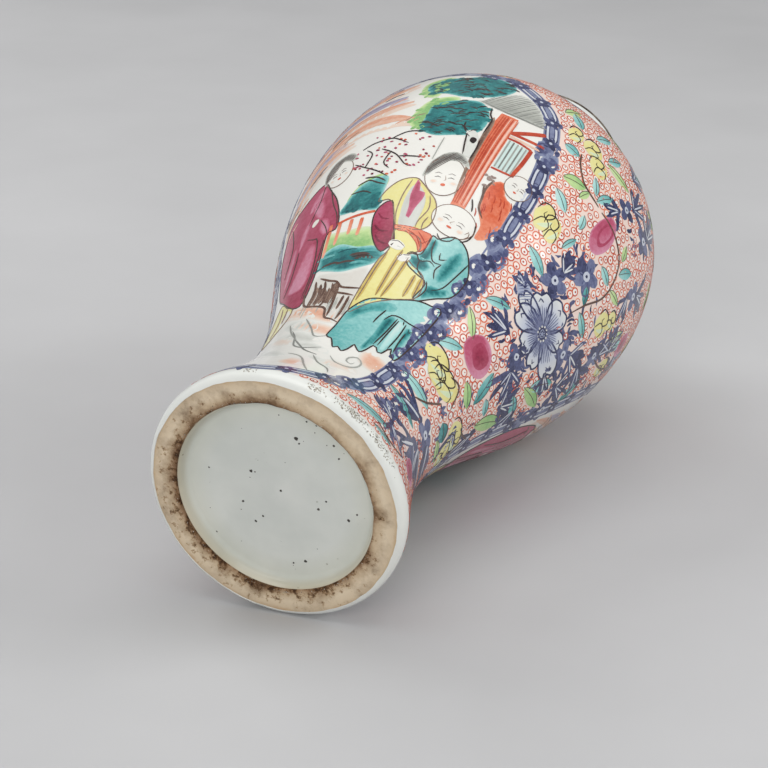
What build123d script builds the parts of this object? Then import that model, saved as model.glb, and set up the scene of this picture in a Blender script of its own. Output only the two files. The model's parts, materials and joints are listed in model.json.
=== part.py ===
"""A lying porcelain baluster vase: glazed thrown sections luted with slip, inside coats and a dressed lip."""

import os
from math import atan2, cos, degrees, radians, sin

from build123d import *

# Heights are measured along the vase's own axis from the standing face of its foot.
vase_height = 240.0
foot_edge_radius = 37.8  # the widest circle of the foot, on the glazed lip
foot_edge_height = 3.4
ring_outer_radius = 36.2  # the unglazed standing face runs from here in to the recess
ring_inner_radius = 29.4
lip_end_height = 6.6
lip_end_radius = 37.0

waist_height = 39.0
waist_radius = 29.4
hip_height = 76.0
hip_radius = 35.8
flank_height = 112.0
flank_radius = 49.1
belly_height = 158.0
belly_radius = 58.2
shoulder_height = 186.0
shoulder_radius = 52.9
collar_height = 200.0
collar_radius = 37.2
neck_height = 214.0
neck_radius = 20.9
mouth_radius = 28.1
overrun_height = 8.0  # the profile runs this far past the mouth and is then cut to length
overrun_radius = 5.6

wall = 4.0  # fired clay with the clear glaze that is melted into its outside
lining = 0.3  # the thinner glaze inside
dressing = 0.9  # height of the brown-dressed lip
lip_rounding = 0.4
throat_radius = 17.2  # straight stretch inside the neck
throat_length = 24.0

recess_depth = 4.2
recess_floor_radius = 28.4
recess_bevel = 0.8
recess_slope = 0.4  # how much narrower the recess is behind its bevel
base_slab = 7.0
bowl_radius = 31.0  # rounded inside bottom

seam = 0.9  # width of each slip joint
waist_joint = 40.0
belly_joint = 122.0
neck_joint = 205.0

seam_turn = 1.5  # degrees from the top to where turning starts, so that a mesh facet faces the floor

# The profile lies in a sketch whose X is the vase's axis and whose Y is the radius.
with BuildLine() as foot_lip:
    Spline(
        (0, ring_outer_radius),
        (foot_edge_height, foot_edge_radius),
        (lip_end_height, lip_end_radius),
        tangents=((0.45, 1), (1, -0.34)),
    )
with BuildLine() as flank:
    Spline(
        (lip_end_height, lip_end_radius),
        (waist_height, waist_radius),
        (hip_height, hip_radius),
        (flank_height, flank_radius),
        (belly_height, belly_radius),
        (shoulder_height, shoulder_radius),
        (collar_height, collar_radius),
        (neck_height, neck_radius),
        (vase_height, mouth_radius),
        (vase_height + overrun_height, mouth_radius + overrun_radius),
        tangents=((1, -0.34), (1, 0.85)),
    )


def depth_points(edge, depth, count):
    """Points a fixed depth below the outer surface, square to it."""
    points = []
    for i in range(count + 1):
        place, along = edge @ (i / count), edge % (i / count)
        points.append((place.X + along.Y * depth, place.Y - along.X * depth))
    return points


def filled(depth):
    """The face between the axis and the profile at a depth."""
    low = depth_points(foot_lip.line, depth, 8)
    high = depth_points(flank.line, depth, 56)
    foot_end = [(0, ring_outer_radius)] if depth else []
    with BuildSketch() as area:
        with BuildLine():
            Spline(*low)
            Spline(*high)
            Polyline(high[-1], (high[-1][0], 0), (0, 0), *foot_end, low[0])
        make_face()
    return area.sketch


def hollow(depth, bowl, throat):
    """The face of the inside: the wall's inner line, a rounded bottom and a straight throat."""
    centre = recess_depth + base_slab + bowl_radius
    with BuildSketch() as area:
        add(filled(depth))
        with BuildSketch(mode=Mode.INTERSECT):
            with Locations((centre, 0)):
                Circle(bowl)
                Rectangle(2 * vase_height, 4 * belly_radius, align=(Align.MIN, Align.CENTER))
        with Locations((neck_height, 0)):
            Rectangle(throat_length, throat, align=(Align.CENTER, Align.MIN))
    return area.sketch


def recess(depth):
    """The face of the turned hollow under the base, shrunk by a coat of a given depth."""
    with BuildSketch() as area:
        with BuildLine():
            Polyline(
                (0, 0),
                (recess_depth - depth, 0),
                (recess_depth - depth, recess_floor_radius - depth),
                (recess_bevel, ring_inner_radius - recess_slope - depth),
                (0, ring_inner_radius - depth),
                close=True,
            )
        make_face()
    return area.sketch


neck_top = vase_height - dressing
with BuildSketch() as wall_area:
    add(filled(0))
    add(hollow(wall, bowl_radius, throat_radius + lining), mode=Mode.SUBTRACT)
    add(recess(0), mode=Mode.SUBTRACT)
with BuildSketch() as inner_coat:
    add(hollow(wall, bowl_radius, throat_radius + lining))
    add(hollow(wall + lining, bowl_radius - lining, throat_radius), mode=Mode.SUBTRACT)
with BuildSketch() as base_coat:
    add(recess(0))
    add(recess(lining), mode=Mode.SUBTRACT)
with BuildSketch() as mouth_area:
    add(filled(0))
    add(hollow(wall + lining, bowl_radius - lining, throat_radius), mode=Mode.SUBTRACT)

# The vase lies on the edge of its foot and on its belly, so the floor touches both circles.
samples = depth_points(foot_lip.line, 0, 40) + depth_points(flank.line, 0, 600)
samples = [point for point in samples if point[0] <= vase_height]
foot_side = [point for point in samples if point[0] < waist_height]
body_side = [point for point in samples if point[0] > waist_height]
tilt = 0.0
for round_number in range(8):
    foot_touch = max(foot_side, key=lambda p: p[1] * cos(tilt) - p[0] * sin(tilt))
    body_touch = max(body_side, key=lambda p: p[1] * cos(tilt) - p[0] * sin(tilt))
    tilt = atan2(body_touch[1] - foot_touch[1], body_touch[0] - foot_touch[0])
rest_height = foot_touch[1] * cos(tilt) - foot_touch[0] * sin(tilt)
reach = [p[0] * cos(tilt) + side * p[1] * sin(tilt) for p in samples for side in (-1, 1)]
foot_centre = (0, -(min(reach) + max(reach)) / 2, rest_height)
turn = radians(seam_turn)
seam_normal = (cos(turn), sin(turn) * sin(tilt), -sin(turn) * cos(tilt))
profile = Plane(origin=foot_centre, x_dir=(0, cos(tilt), sin(tilt)), z_dir=seam_normal)
axis = Axis(foot_centre, (0, cos(tilt), sin(tilt)))


def turned(area, low, high):
    """Turn the stretch of a face between two heights about the vase's axis."""
    with BuildSketch(profile) as stretch:
        add(area.sketch)
        with Locations((low, 0)):
            Rectangle(
                high - low,
                2 * belly_radius,
                align=(Align.MIN, Align.CENTER),
                mode=Mode.INTERSECT,
            )
    revolve(stretch.sketch, axis=axis)


os.makedirs("parts", exist_ok=True)

# Foot ring and base, turned from one thick-bottomed thrown piece.
with BuildPart() as foot:
    turned(wall_area, 0, waist_joint)
foot.part.label = "foot"
export_step(foot.part, "parts/foot.step")

with BuildPart() as waist_lute:
    turned(wall_area, waist_joint, waist_joint + seam)
waist_lute.part.label = "waist_lute"
export_step(waist_lute.part, "parts/waist_lute.step")

with BuildPart() as lower_body:
    turned(wall_area, waist_joint + seam, belly_joint)
lower_body.part.label = "lower_body"
export_step(lower_body.part, "parts/lower_body.step")

with BuildPart() as belly_lute:
    turned(wall_area, belly_joint, belly_joint + seam)
belly_lute.part.label = "belly_lute"
export_step(belly_lute.part, "parts/belly_lute.step")

with BuildPart() as upper_body:
    turned(wall_area, belly_joint + seam, neck_joint)
upper_body.part.label = "upper_body"
export_step(upper_body.part, "parts/upper_body.step")

with BuildPart() as neck_lute:
    turned(wall_area, neck_joint, neck_joint + seam)
neck_lute.part.label = "neck_lute"
export_step(neck_lute.part, "parts/neck_lute.step")

with BuildPart() as neck:
    turned(wall_area, neck_joint + seam, neck_top)
neck.part.label = "neck"
export_step(neck.part, "parts/neck.step")

# Clear glaze of the inside, from the bowl to the lip.
with BuildPart() as inner_glaze:
    turned(inner_coat, recess_depth, neck_top)
inner_glaze.part.label = "inner_glaze"
export_step(inner_glaze.part, "parts/inner_glaze.step")

# The glazed floor and wall of the recess, which stops at the inner bevel of the bare ring.
with BuildPart() as base_glaze:
    turned(base_coat, recess_bevel, recess_depth)
base_glaze.part.label = "base_glaze"
export_step(base_glaze.part, "parts/base_glaze.step")

# Iron-brown dressing fired onto the lip.
with BuildPart() as lip_dressing:
    turned(mouth_area, neck_top, vase_height)
    lip_edges = lip_dressing.edges().filter_by(GeomType.CIRCLE)
    fillet(lip_edges.sort_by(axis)[-2:], lip_rounding)
lip_dressing.part.label = "lip_dressing"
export_step(lip_dressing.part, "parts/lip_dressing.step")

print("tilt", round(degrees(tilt), 3), "foot centre", [round(v, 3) for v in foot_centre])
print("foot touches at", foot_touch, "belly touches at", body_touch)
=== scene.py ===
import json
import math
import random

import bmesh
import bpy
import numpy as np
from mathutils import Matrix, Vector, noise


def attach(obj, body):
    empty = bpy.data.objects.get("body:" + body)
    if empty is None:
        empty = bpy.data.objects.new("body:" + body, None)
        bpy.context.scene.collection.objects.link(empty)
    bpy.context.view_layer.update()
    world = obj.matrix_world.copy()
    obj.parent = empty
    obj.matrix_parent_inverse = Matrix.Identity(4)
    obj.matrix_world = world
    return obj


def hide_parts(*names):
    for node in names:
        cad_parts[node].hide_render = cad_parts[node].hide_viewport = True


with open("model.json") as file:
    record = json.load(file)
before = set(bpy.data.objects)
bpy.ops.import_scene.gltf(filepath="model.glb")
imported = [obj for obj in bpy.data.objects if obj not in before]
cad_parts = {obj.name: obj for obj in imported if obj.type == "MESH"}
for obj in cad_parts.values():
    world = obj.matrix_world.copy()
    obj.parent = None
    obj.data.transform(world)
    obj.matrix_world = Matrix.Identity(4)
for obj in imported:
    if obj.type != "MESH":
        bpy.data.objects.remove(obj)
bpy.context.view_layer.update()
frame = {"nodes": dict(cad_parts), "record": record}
nodes = frame["nodes"]
print("frame loaded:", len(nodes), "nodes")

# The vase lies tilted, so every height below runs along its own axis from the foot's bare face.
footMount = next(m for m in frame["record"]["mounts"] if m["name"] == "foot_face")
axisDir = -Vector(footMount["axis"]).normalized()
footCentre = Vector((0.0, footMount["pos_m"][1], footMount["pos_m"][2]))
upDir = Vector((0.0, -axisDir.z, axisDir.y))
sideDir = Vector((1.0, 0.0, 0.0))


def readProfile(names, wanted):
    # heights and radii in mm of the faces whose normals are wanted
    found = {}
    for name in names:
        mesh = nodes[name].data
        for face in mesh.polygons:
            middle = face.center - footCentre
            height = middle.dot(axisDir)
            outward = middle - axisDir * height
            if outward.length < 1e-5:
                continue
            radial = face.normal.dot(outward.normalized())
            if not wanted(radial, face.normal.dot(axisDir), height * 1000):
                continue
            for i in face.vertices:
                arm = mesh.vertices[i].co - footCentre
                t = arm.dot(axisDir)
                key = round(t * 1000, 2)
                found[key] = max(found.get(key, 0.0), (arm - axisDir * t).length * 1000)
    line = []
    for t in sorted(found):
        if not line or math.hypot(t - line[-1][0], found[t] - line[-1][1]) > 0.7:
            line.append((t, found[t]))
    return line


def makeLine(points):
    t, r = np.array(points).T
    s = np.concatenate([[0.0], np.cumsum(np.hypot(np.diff(t), np.diff(r)))])
    return {"s": s, "t": t, "r": r, "dt": np.gradient(t, s), "dr": np.gradient(r, s)}


def readLine(line, s):
    s = np.asarray(s, float)
    i = np.clip(np.searchsorted(line["s"], s, side="right") - 1, 0, len(line["s"]) - 2)
    h = line["s"][i + 1] - line["s"][i]
    u = (s - line["s"][i]) / h

    def between(v, d):
        start = (2 * u**3 - 3 * u**2 + 1) * v[i] + (u**3 - 2 * u**2 + u) * h * d[i]
        return start + (3 * u**2 - 2 * u**3) * v[i + 1] + (u**3 - u**2) * h * d[i + 1]

    dt, dr = np.interp(s, line["s"], line["dt"]), np.interp(s, line["s"], line["dr"])
    size = np.hypot(dt, dr)
    return between(line["t"], line["dt"]), between(line["r"], line["dr"]), dt / size, dr / size


sections = ["foot", "waist_lute", "lower_body", "belly_lute", "upper_body", "neck_lute", "neck"]
outerPoints = readProfile(sections, lambda radial, along, t: radial > 0.05)
innerPoints = readProfile(["inner_glaze"], lambda radial, along, t: radial < -0.05
    or (along > 0.3 and t < 40))
outerLine, innerLine = makeLine(outerPoints), makeLine(innerPoints)
outerEnd = float(outerLine["s"][-1])
print("profile read:", len(outerPoints), "outer and", len(innerPoints), "inner points, length",
    round(outerEnd, 1))


def onVase(a, s, lift):
    # degrees round the axis from the top, mm along the profile and mm off the glaze
    t, r, dt, dr = readLine(outerLine, s)
    turn = np.radians(a)
    radial = np.outer(np.cos(turn), upDir) + np.outer(np.sin(turn), sideDir)
    normal = radial * dt[:, None] - np.outer(dr, axisDir)
    arm = np.outer(t, axisDir) + radial * r[:, None] + normal * np.asarray(lift)[:, None]
    return np.array(footCentre) + arm / 1000, normal


def atHeight(t, r, a=0.0):
    radial = upDir * math.cos(math.radians(a)) + sideDir * math.sin(math.radians(a))
    return footCentre + (axisDir * t + radial * r) / 1000


def mmPerDegree(s):
    return float(readLine(outerLine, [s])[1][0]) * math.pi / 180


def tint(r, g, b):
    # screen values from 0 to 255 as linear light
    return tuple(((v / 255 + 0.055) / 1.055) ** 2.4 if v > 10 else v / 255 / 12.92
        for v in (r, g, b)) + (1.0,)


def makeGroup(name, inputs, outputs):
    group = bpy.data.node_groups.new(name, "ShaderNodeTree")
    for socket, start in inputs.items():
        made = group.interface.new_socket(name=socket, in_out="INPUT",
            socket_type="NodeSocketFloat")
        made.default_value = start
    for socket, kind in outputs.items():
        group.interface.new_socket(name=socket, in_out="OUTPUT", socket_type=kind)
    enter, leave = group.nodes.new("NodeGroupInput"), group.nodes.new("NodeGroupOutput")
    return group, enter, leave


def addNode(tree, kind, links=(), **values):
    node = tree.nodes.new(kind)
    for key, value in values.items():
        if hasattr(node, key):
            setattr(node, key, value)
        else:
            node.inputs[key.replace("_", " ")].default_value = value
    for socket, source in dict(links).items():
        tree.links.new(source, node.inputs[socket])
    return node


def addRamp(tree, source, stops):
    ramp = addNode(tree, "ShaderNodeValToRGB", {"Fac": source})
    while len(ramp.color_ramp.elements) < len(stops):
        ramp.color_ramp.elements.new(0.5)
    for element, (place, colour) in zip(ramp.color_ramp.elements, stops):
        element.position, element.color = place, tint(*colour)
    return ramp.outputs["Color"]


def objectPlace(tree):
    return addNode(tree, "ShaderNodeTexCoord").outputs["Object"]


def addNoise(tree, place, scale, detail=2.0, roughness=0.5):
    return addNode(
        tree, "ShaderNodeTexNoise", {"Vector": place}, Scale=scale, Detail=detail,
        Roughness=roughness
    ).outputs["Fac"]


def setInput(tree, socket, value):
    # a number is set on the socket, anything else is linked to it
    if isinstance(value, (int, float)):
        socket.default_value = value
    else:
        tree.links.new(value, socket)


def addMath(tree, operation, *values):
    node = addNode(tree, "ShaderNodeMath", operation=operation)
    for socket, value in zip(node.inputs, values):
        setInput(tree, socket, value)
    return node.outputs[0]


def multiplied(tree, factor, first, second):
    mixed = addNode(tree, "ShaderNodeMix", data_type="RGBA", blend_type="MULTIPLY")
    for socket, value in zip((0, 6, 7), (factor, first, second)):
        setInput(tree, mixed.inputs[socket], value)
    return mixed.outputs[2]


def stretched(tree, value, low, high):
    zone = addNode(tree, "ShaderNodeMapRange", {"Value": value})
    zone.inputs["From Min"].default_value, zone.inputs["From Max"].default_value = low, high
    return zone.outputs["Result"]


def fromFoot(tree, place):
    # metres from the middle of the foot's face
    away = addNode(tree, "ShaderNodeVectorMath", {0: place}, operation="SUBTRACT")
    away.inputs[1].default_value = footCentre
    return addNode(tree, "ShaderNodeVectorMath", {0: away.outputs[0]},
        operation="LENGTH").outputs["Value"]


def brushMottleGroup():
    # a brush load that is uneven at two scales
    group, enter, leave = makeGroup("brushMottle", {"Tone": 0.5, "Amount": 0.2},
        {"Tone": "NodeSocketFloat"})
    place = objectPlace(group)
    both = addMath(group, "ADD", addNoise(group, place, 210.0, 3.0, 0.55),
        addNoise(group, place, 900.0, 2.0, 0.6))
    swing = addMath(group, "MULTIPLY", addMath(group, "SUBTRACT", both, 1.0),
        enter.outputs["Amount"])
    swing = addMath(group, "MULTIPLY", swing, enter.outputs["Tone"])
    group.links.new(addMath(group, "ADD", swing, enter.outputs["Tone"]), leave.inputs["Tone"])
    return group


def glazeRippleGroup():
    # the faint orange peel and the slow waves of a fired glaze
    group, enter, leave = makeGroup("glazeRipple", {"Strength": 0.1},
        {"Normal": "NodeSocketVector"})
    place = objectPlace(group)
    wave = None
    for scale, detail, distance in ((70.0, 2.0, 0.0012), (700.0, 1.0, 0.00012)):
        links = {"Height": addNoise(group, place, scale, detail),
            "Strength": enter.outputs["Strength"]}
        if wave:
            links["Normal"] = wave.outputs[0]
        wave = addNode(group, "ShaderNodeBump", links, Distance=distance)
    group.links.new(wave.outputs[0], leave.inputs["Normal"])
    return group


brushMottle, glazeRipple = brushMottleGroup(), glazeRippleGroup()


def newMaterial(name, settings, ripple):
    material = bpy.data.materials.new(name)
    material.use_nodes = True
    tree = material.node_tree
    shader = tree.nodes["Principled BSDF"]
    for key, value in settings.items():
        shader.inputs[key].default_value = value
    if ripple:
        waves = addNode(tree, "ShaderNodeGroup", node_tree=glazeRipple)
        waves.inputs["Strength"].default_value = ripple
        tree.links.new(waves.outputs["Normal"], shader.inputs["Normal"])
    return material, tree, shader


def paintMaterial(name, stops, settings, amount):
    # the tone of each brushed shape picks its colour from the ramp
    material, tree, shader = newMaterial(name, settings, 0.12)
    tone = addNode(tree, "ShaderNodeAttribute", attribute_name="tone")
    load = addNode(tree, "ShaderNodeGroup", node_tree=brushMottle)
    tree.links.new(tone.outputs["Fac"], load.inputs["Tone"])
    load.inputs["Amount"].default_value = amount
    colour = addRamp(tree, load.outputs["Tone"], stops)
    tree.links.new(colour, shader.inputs["Base Color"])
    return material


white, black = (255, 255, 255), (0, 0, 0)
glazeWhite = (223, 224, 218)
glazeFinish = {"Roughness": 0.09, "IOR": 1.5, "Specular IOR Level": 0.5}
enamelFinish = {"Roughness": 0.2, "IOR": 1.5, "Specular IOR Level": 0.5}
thinFinish = {"Roughness": 0.14, "IOR": 1.5, "Specular IOR Level": 0.5}

# for each paint: the colours from thin to thick, the finish and how uneven the brush is
paintStyles = {
    "cobalt": ([(0.0, glazeWhite), (0.3, (186, 192, 208)), (0.55, (130, 138, 166)),
        (0.8, (80, 86, 124)), (1.0, (48, 51, 82))], glazeFinish, 0.45),
    "ironRed": ([(0.0, (232, 214, 204)), (0.4, (228, 152, 122)), (0.7, (208, 96, 64)),
        (1.0, (168, 56, 38))], thinFinish, 0.5),
    "rose": ([(0.0, glazeWhite), (0.3, (214, 160, 182)), (0.6, (182, 84, 112)),
        (0.85, (150, 46, 74)), (1.0, (106, 26, 50))], enamelFinish, 0.35),
    "green": ([(0.0, glazeWhite), (0.4, (192, 215, 152)), (0.7, (136, 184, 116)),
        (1.0, (76, 130, 80))], enamelFinish, 0.5),
    "turquoise": ([(0.0, glazeWhite), (0.35, (168, 214, 210)), (0.6, (90, 166, 165)),
        (0.8, (38, 120, 121)), (1.0, (18, 74, 82))], enamelFinish, 0.4),
    "yellow": ([(0.0, glazeWhite), (0.4, (228, 225, 182)), (0.7, (222, 214, 142)),
        (1.0, (196, 168, 88))], enamelFinish, 0.25),
    "lineBlack": ([(0.0, (150, 132, 124)), (0.6, (78, 62, 58)), (1.0, (36, 30, 30))], thinFinish,
        0.3),
    "salmon": ([(0.0, glazeWhite), (0.5, (226, 196, 176)), (1.0, (216, 152, 122))], thinFinish,
        0.5),
    "lilac": ([(0.0, glazeWhite), (0.5, (196, 190, 200)), (1.0, (150, 142, 168))], thinFinish, 0.5),
    "brown": ([(0.0, glazeWhite), (0.5, (164, 138, 120)), (1.0, (88, 62, 52))], thinFinish, 0.5),
    "grey": ([(0.0, glazeWhite), (0.5, (178, 180, 172)), (1.0, (112, 114, 110))], thinFinish, 0.4),
    "skin": ([(0.0, (226, 214, 200)), (0.5, (224, 221, 212)), (1.0, (228, 227, 221))], glazeFinish,
        0.1),
}

# Painting is done flat: degrees round the axis, mm along the profile, lift off the glaze in mm.
layers = {"ground": 0.035, "paper": 0.055, "wash": 0.08, "disc": 0.08, "fill": 0.105, "over": 0.13,
    "detail": 0.16, "line": 0.19, "top": 0.22}
lay = {"centre": 0.0, "from": 0.0, "side": 1, "stretch": 1.0}
paints = {}
dice = random.Random(41)


def laid(a, s):
    return lay["centre"] + lay["side"] * lay["stretch"] * (a - lay["from"]), s


def keep(paint, coords, tones, faces):
    store = paints.setdefault(paint, {"co": [], "tone": [], "faces": []})
    start = len(store["co"])
    store["co"].extend(coords)
    store["tone"].extend(tones)
    store["faces"].extend([[start + i for i in face] for face in faces])


def smoothed(points, closed, step=1.3):
    # a Catmull-Rom line through the points, with points about every step mm
    scale = mmPerDegree(sum(p[1] for p in points) / len(points))
    count, line = len(points), []
    for i in range(count if closed else count - 1):
        if closed:
            p = [Vector(points[(i + j) % count]) for j in (-1, 0, 1, 2)]
        else:
            p = [Vector(points[min(max(i + j, 0), count - 1)]) for j in (-1, 0, 1, 2)]
        chord = p[2] - p[1]
        parts = max(1, round(math.hypot(chord.x * scale, chord.y) / step))
        for j in range(parts):
            u = j / parts
            bow = (2 * p[0] - 5 * p[1] + 4 * p[2] - p[3]) * u**2 + (3 * p[1] - p[0] - 3 * p[2]
                + p[3]) * u**3
            line.append(tuple(0.5 * (2 * p[1] + (p[2] - p[0]) * u + bow)))
    if not closed:
        line.append(tuple(points[-1]))
    return line


def toneAt(tone, x, y):
    # one tone, or (low, high, direction in degrees) spread over the shape
    if not isinstance(tone, tuple):
        return np.full(len(x), float(tone))
    low, high, turn = tone
    along = x * math.cos(math.radians(turn)) + y * math.sin(math.radians(turn))
    return low + (high - low) * (along - along.min()) / max(np.ptp(along), 1e-6)


def fill(paint, outline, layer="fill", tone=0.6, soft=0.0, sharp=False, cell=2.6, under=0.0):
    # soft is how far in from the edge the tone grows out of the one under it
    line = [laid(a, s) for a, s in (outline if sharp else smoothed(outline, True))]
    bm = bmesh.new()
    face = bm.faces.new([bm.verts.new((a, s, layers[layer])) for a, s in line])
    face.normal_update()
    if face.normal.z < 0:
        face.normal_flip()
    low, high = np.min(line, axis=0), np.max(line, axis=0)
    scale = mmPerDegree((low[1] + high[1]) / 2)
    if soft:
        cell = min(cell, max(0.8, soft))
    for side, step in ((0, cell / scale), (1, cell)):
        across = Vector((1, 0, 0)) if side == 0 else Vector((0, 1, 0))
        for k in range(1, int((high[side] - low[side]) / step)):
            at = across * (low[side] + k * step)
            bmesh.ops.bisect_plane(bm, geom=bm.verts[:] + bm.edges[:] + bm.faces[:], dist=1e-5,
                plane_co=at, plane_no=across)
    bm.verts.index_update()
    coords = [tuple(v.co) for v in bm.verts]
    x, y = np.array([c[0] * scale for c in coords]), np.array([c[1] for c in coords])
    tones = toneAt(tone, x, y)
    if soft:
        rim = np.array([(a * scale, s) for a, s in line])
        step = np.roll(rim, -1, axis=0) - rim
        arm = np.stack([x, y], 1)[:, None] - rim[None]
        u = np.clip((arm * step).sum(2) / np.maximum((step * step).sum(1), 1e-9), 0, 1)
        depth = np.hypot(*(arm - u[..., None] * step).transpose(2, 0, 1)).min(1)
        tones = under + (tones - under) * np.clip(depth / soft, 0.02, 1)
    keep(paint, coords, tones.tolist(), [[v.index for v in f.verts] for f in bm.faces])
    bm.free()


def stroke(paint, points, width=0.4, layer="line", tone=0.85, ends=(0.35, 0.35), closed=False):
    line = [laid(a, s) for a, s in smoothed(points, closed, 1.1)]
    if closed:
        line.append(line[0])
    scale = mmPerDegree(sum(p[1] for p in line) / len(line))
    path = np.array([(a * scale, s) for a, s in line])
    way = np.gradient(path, axis=0)
    way /= np.maximum(np.hypot(*way.T), 1e-6)[:, None]
    count = len(path) - 1
    share = np.linspace(0, 1, count + 1)
    size = np.ones(count + 1) if closed else np.minimum(1, np.minimum(ends[0] + share * 5,
        ends[1] + (1 - share) * 4))
    half = size * width / 2
    bm = bmesh.new()
    bmesh.ops.create_grid(bm, x_segments=count, y_segments=1, size=1)
    bm.verts.index_update()
    for vert in bm.verts:
        i = round((vert.co.x + 1) / 2 * count)
        off = half[i] if vert.co.y > 0 else -half[i]
        vert.co = ((path[i, 0] - way[i, 1] * off) / scale, path[i, 1] + way[i, 0] * off,
            layers[layer])
    coords = [tuple(v.co) for v in bm.verts]
    x, y = np.array([c[0] for c in coords]) * scale, np.array([c[1] for c in coords])
    keep(paint, coords, toneAt(tone, x, y).tolist(), [[v.index for v in f.verts] for f in bm.faces])
    bm.free()


def outlined(paint, points, tone, layer, line, width, lineTone=0.8):
    fill(paint, points, layer, tone)
    stroke(line, points, width, "line", lineTone, closed=True)


def placed(a, s, turn, points):
    # mm points round a place, turned from the way round the vase (0) to the way up it (90)
    scale, c, d = mmPerDegree(s), math.cos(math.radians(turn)), math.sin(math.radians(turn))
    return [(a + (x * c - y * d) / scale, s + x * d + y * c) for x, y in points]


def scaledTo(a, s, turn, wide, high, points):
    # the same, with the points given as shares of a width and a height
    return placed(a, s, turn, [(x * wide, y * high) for x, y in points])


def leaveOut(points):
    # no rings are painted inside these
    keepOut.append([laid(*p) for p in points])


def blob(a, s, wide, high, turn=0, wobble=0.12, count=12):
    ring = []
    for i in range(count):
        size = 1 + dice.uniform(-wobble, wobble)
        ring.append((wide * size * math.cos(2 * math.pi * i / count),
            high * size * math.sin(2 * math.pi * i / count)))
    return placed(a, s, turn, ring)


def inside(points, outline):
    x, y = np.array(points, float).reshape(-1, 2).T
    found = np.zeros(len(x), bool)
    for (x0, y0), (x1, y1) in zip(outline, outline[1:] + outline[:1]):
        if y0 != y1:
            found ^= ((y0 > y) != (y1 > y)) & (x < (x1 - x0) * (y - y0) / (y1 - y0) + x0)
    return found


def dabs(paint, outline, count, size, tone, layer="over", turn=0, soft=0.5, flat=0.6, under=0.0):
    # small soft touches of the brush inside an outline
    low, high = np.min(outline, axis=0), np.max(outline, axis=0)
    made = tries = 0
    while made < count and tries < 40 * count:
        tries += 1
        a, s = dice.uniform(low[0], high[0]), dice.uniform(low[1], high[1])
        if inside([(a, s)], outline)[0]:
            reach = size * dice.uniform(0.6, 1.3)
            fill(paint, blob(a, s, reach, reach * flat, turn + dice.uniform(-25, 25), 0.25, 9),
                layer, dice.uniform(*tone), soft * reach, under=under)
            made += 1


def hatch(paint, outline, turn, spacing, width=0.22, tone=(0.4, 0.8), layer="detail"):
    # close parallel strokes kept inside an outline
    middle = np.mean(outline, axis=0)
    scale = mmPerDegree(middle[1])
    reach = max(np.ptp([p[0] for p in outline]) * scale, np.ptp([p[1] for p in outline])) * 0.75
    for k in range(int(-reach / spacing), int(reach / spacing) + 1):
        across = k * spacing + dice.uniform(-0.2, 0.2) * spacing
        line = placed(middle[0], middle[1], turn, [(x, across)
            for x in np.arange(-reach, reach, 0.8)])
        hits = inside(line, outline)
        runs = [i for i in range(len(line)) if hits[i]]
        if len(runs) > 2:
            a, b = line[runs[0]], line[runs[-1]]
            stroke(paint, [a, ((a[0] + b[0]) / 2, (a[1] + b[1]) / 2 + dice.uniform(-0.15, 0.15)),
                b], width, layer, dice.uniform(*tone))


def leaf(paint, a, s, length, wide, turn, tone):
    points = scaledTo(a, s, turn, length, wide, [(-0.5, 0), (-0.3, 0.36), (0, 0.5), (0.3, 0.34),
        (0.5, 0), (0.25, -0.38), (0, -0.48), (-0.3, -0.32)])
    fill(paint, points, "over", (max(0.2, tone - 0.22), tone, turn + 60))
    stroke("lineBlack", points[:5], 0.22, "line", 0.55)
    stroke("lineBlack", scaledTo(a, s, turn, length, wide, [(-0.5, 0), (0, 0.06), (0.4, 0)]), 0.2,
        "line", 0.6)
    leaveOut(points)


def fruit(a, s, wide, high, turn, tone):
    points = blob(a, s, wide / 2, high / 2, turn, 0.1, 10)
    fill("yellow", points, "over", (tone - 0.08, tone + 0.06, 40))
    shade = [(-0.1, -0.36), (0.3, -0.2), (0.34, 0.1), (0.16, -0.08)]
    fill("green", scaledTo(a, s, turn, wide, high, shade), "detail", 0.3, 0.6, under=0.2)
    curls = (
        ([(-0.5, 0.1), (-0.4, 0.42), (0, 0.5), (0.3, 0.3), (0.1, 0.02), (-0.15, 0.1), (-0.1, 0.24)],
            0.42),
        ([(-0.3, -0.4), (-0.15, -0.05), (0.1, 0.02), (0.36, -0.12), (0.3, -0.4)], 0.36),
    )
    for line, width in curls:
        stroke("lineBlack", scaledTo(a, s, turn, wide, high, line), width, tone=0.9)
    leaveOut(points)


def roseFruit(a, s, wide, high):
    rim = [(-0.48, -0.3), (-0.52, 0.1), (-0.3, 0.45), (0, 0.5), (0.2, 0.42), (0.44, 0.2),
        (0.5, -0.15), (0.3, -0.45), (-0.1, -0.52)]
    heart = [(-0.2, 0.3), (0.24, 0.28), (0.3, -0.1), (0.1, -0.3), (-0.26, -0.1)]
    points = scaledTo(a, s, 0, wide, high, rim)
    fill("rose", points, "over", (0.7, 0.42, -10), 0.5, under=0.4)
    fill("rose", scaledTo(a, s, 0, wide, high, heart), "detail", 0.86, 0.16 * high, under=0.74)
    leaveOut(points)


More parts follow.
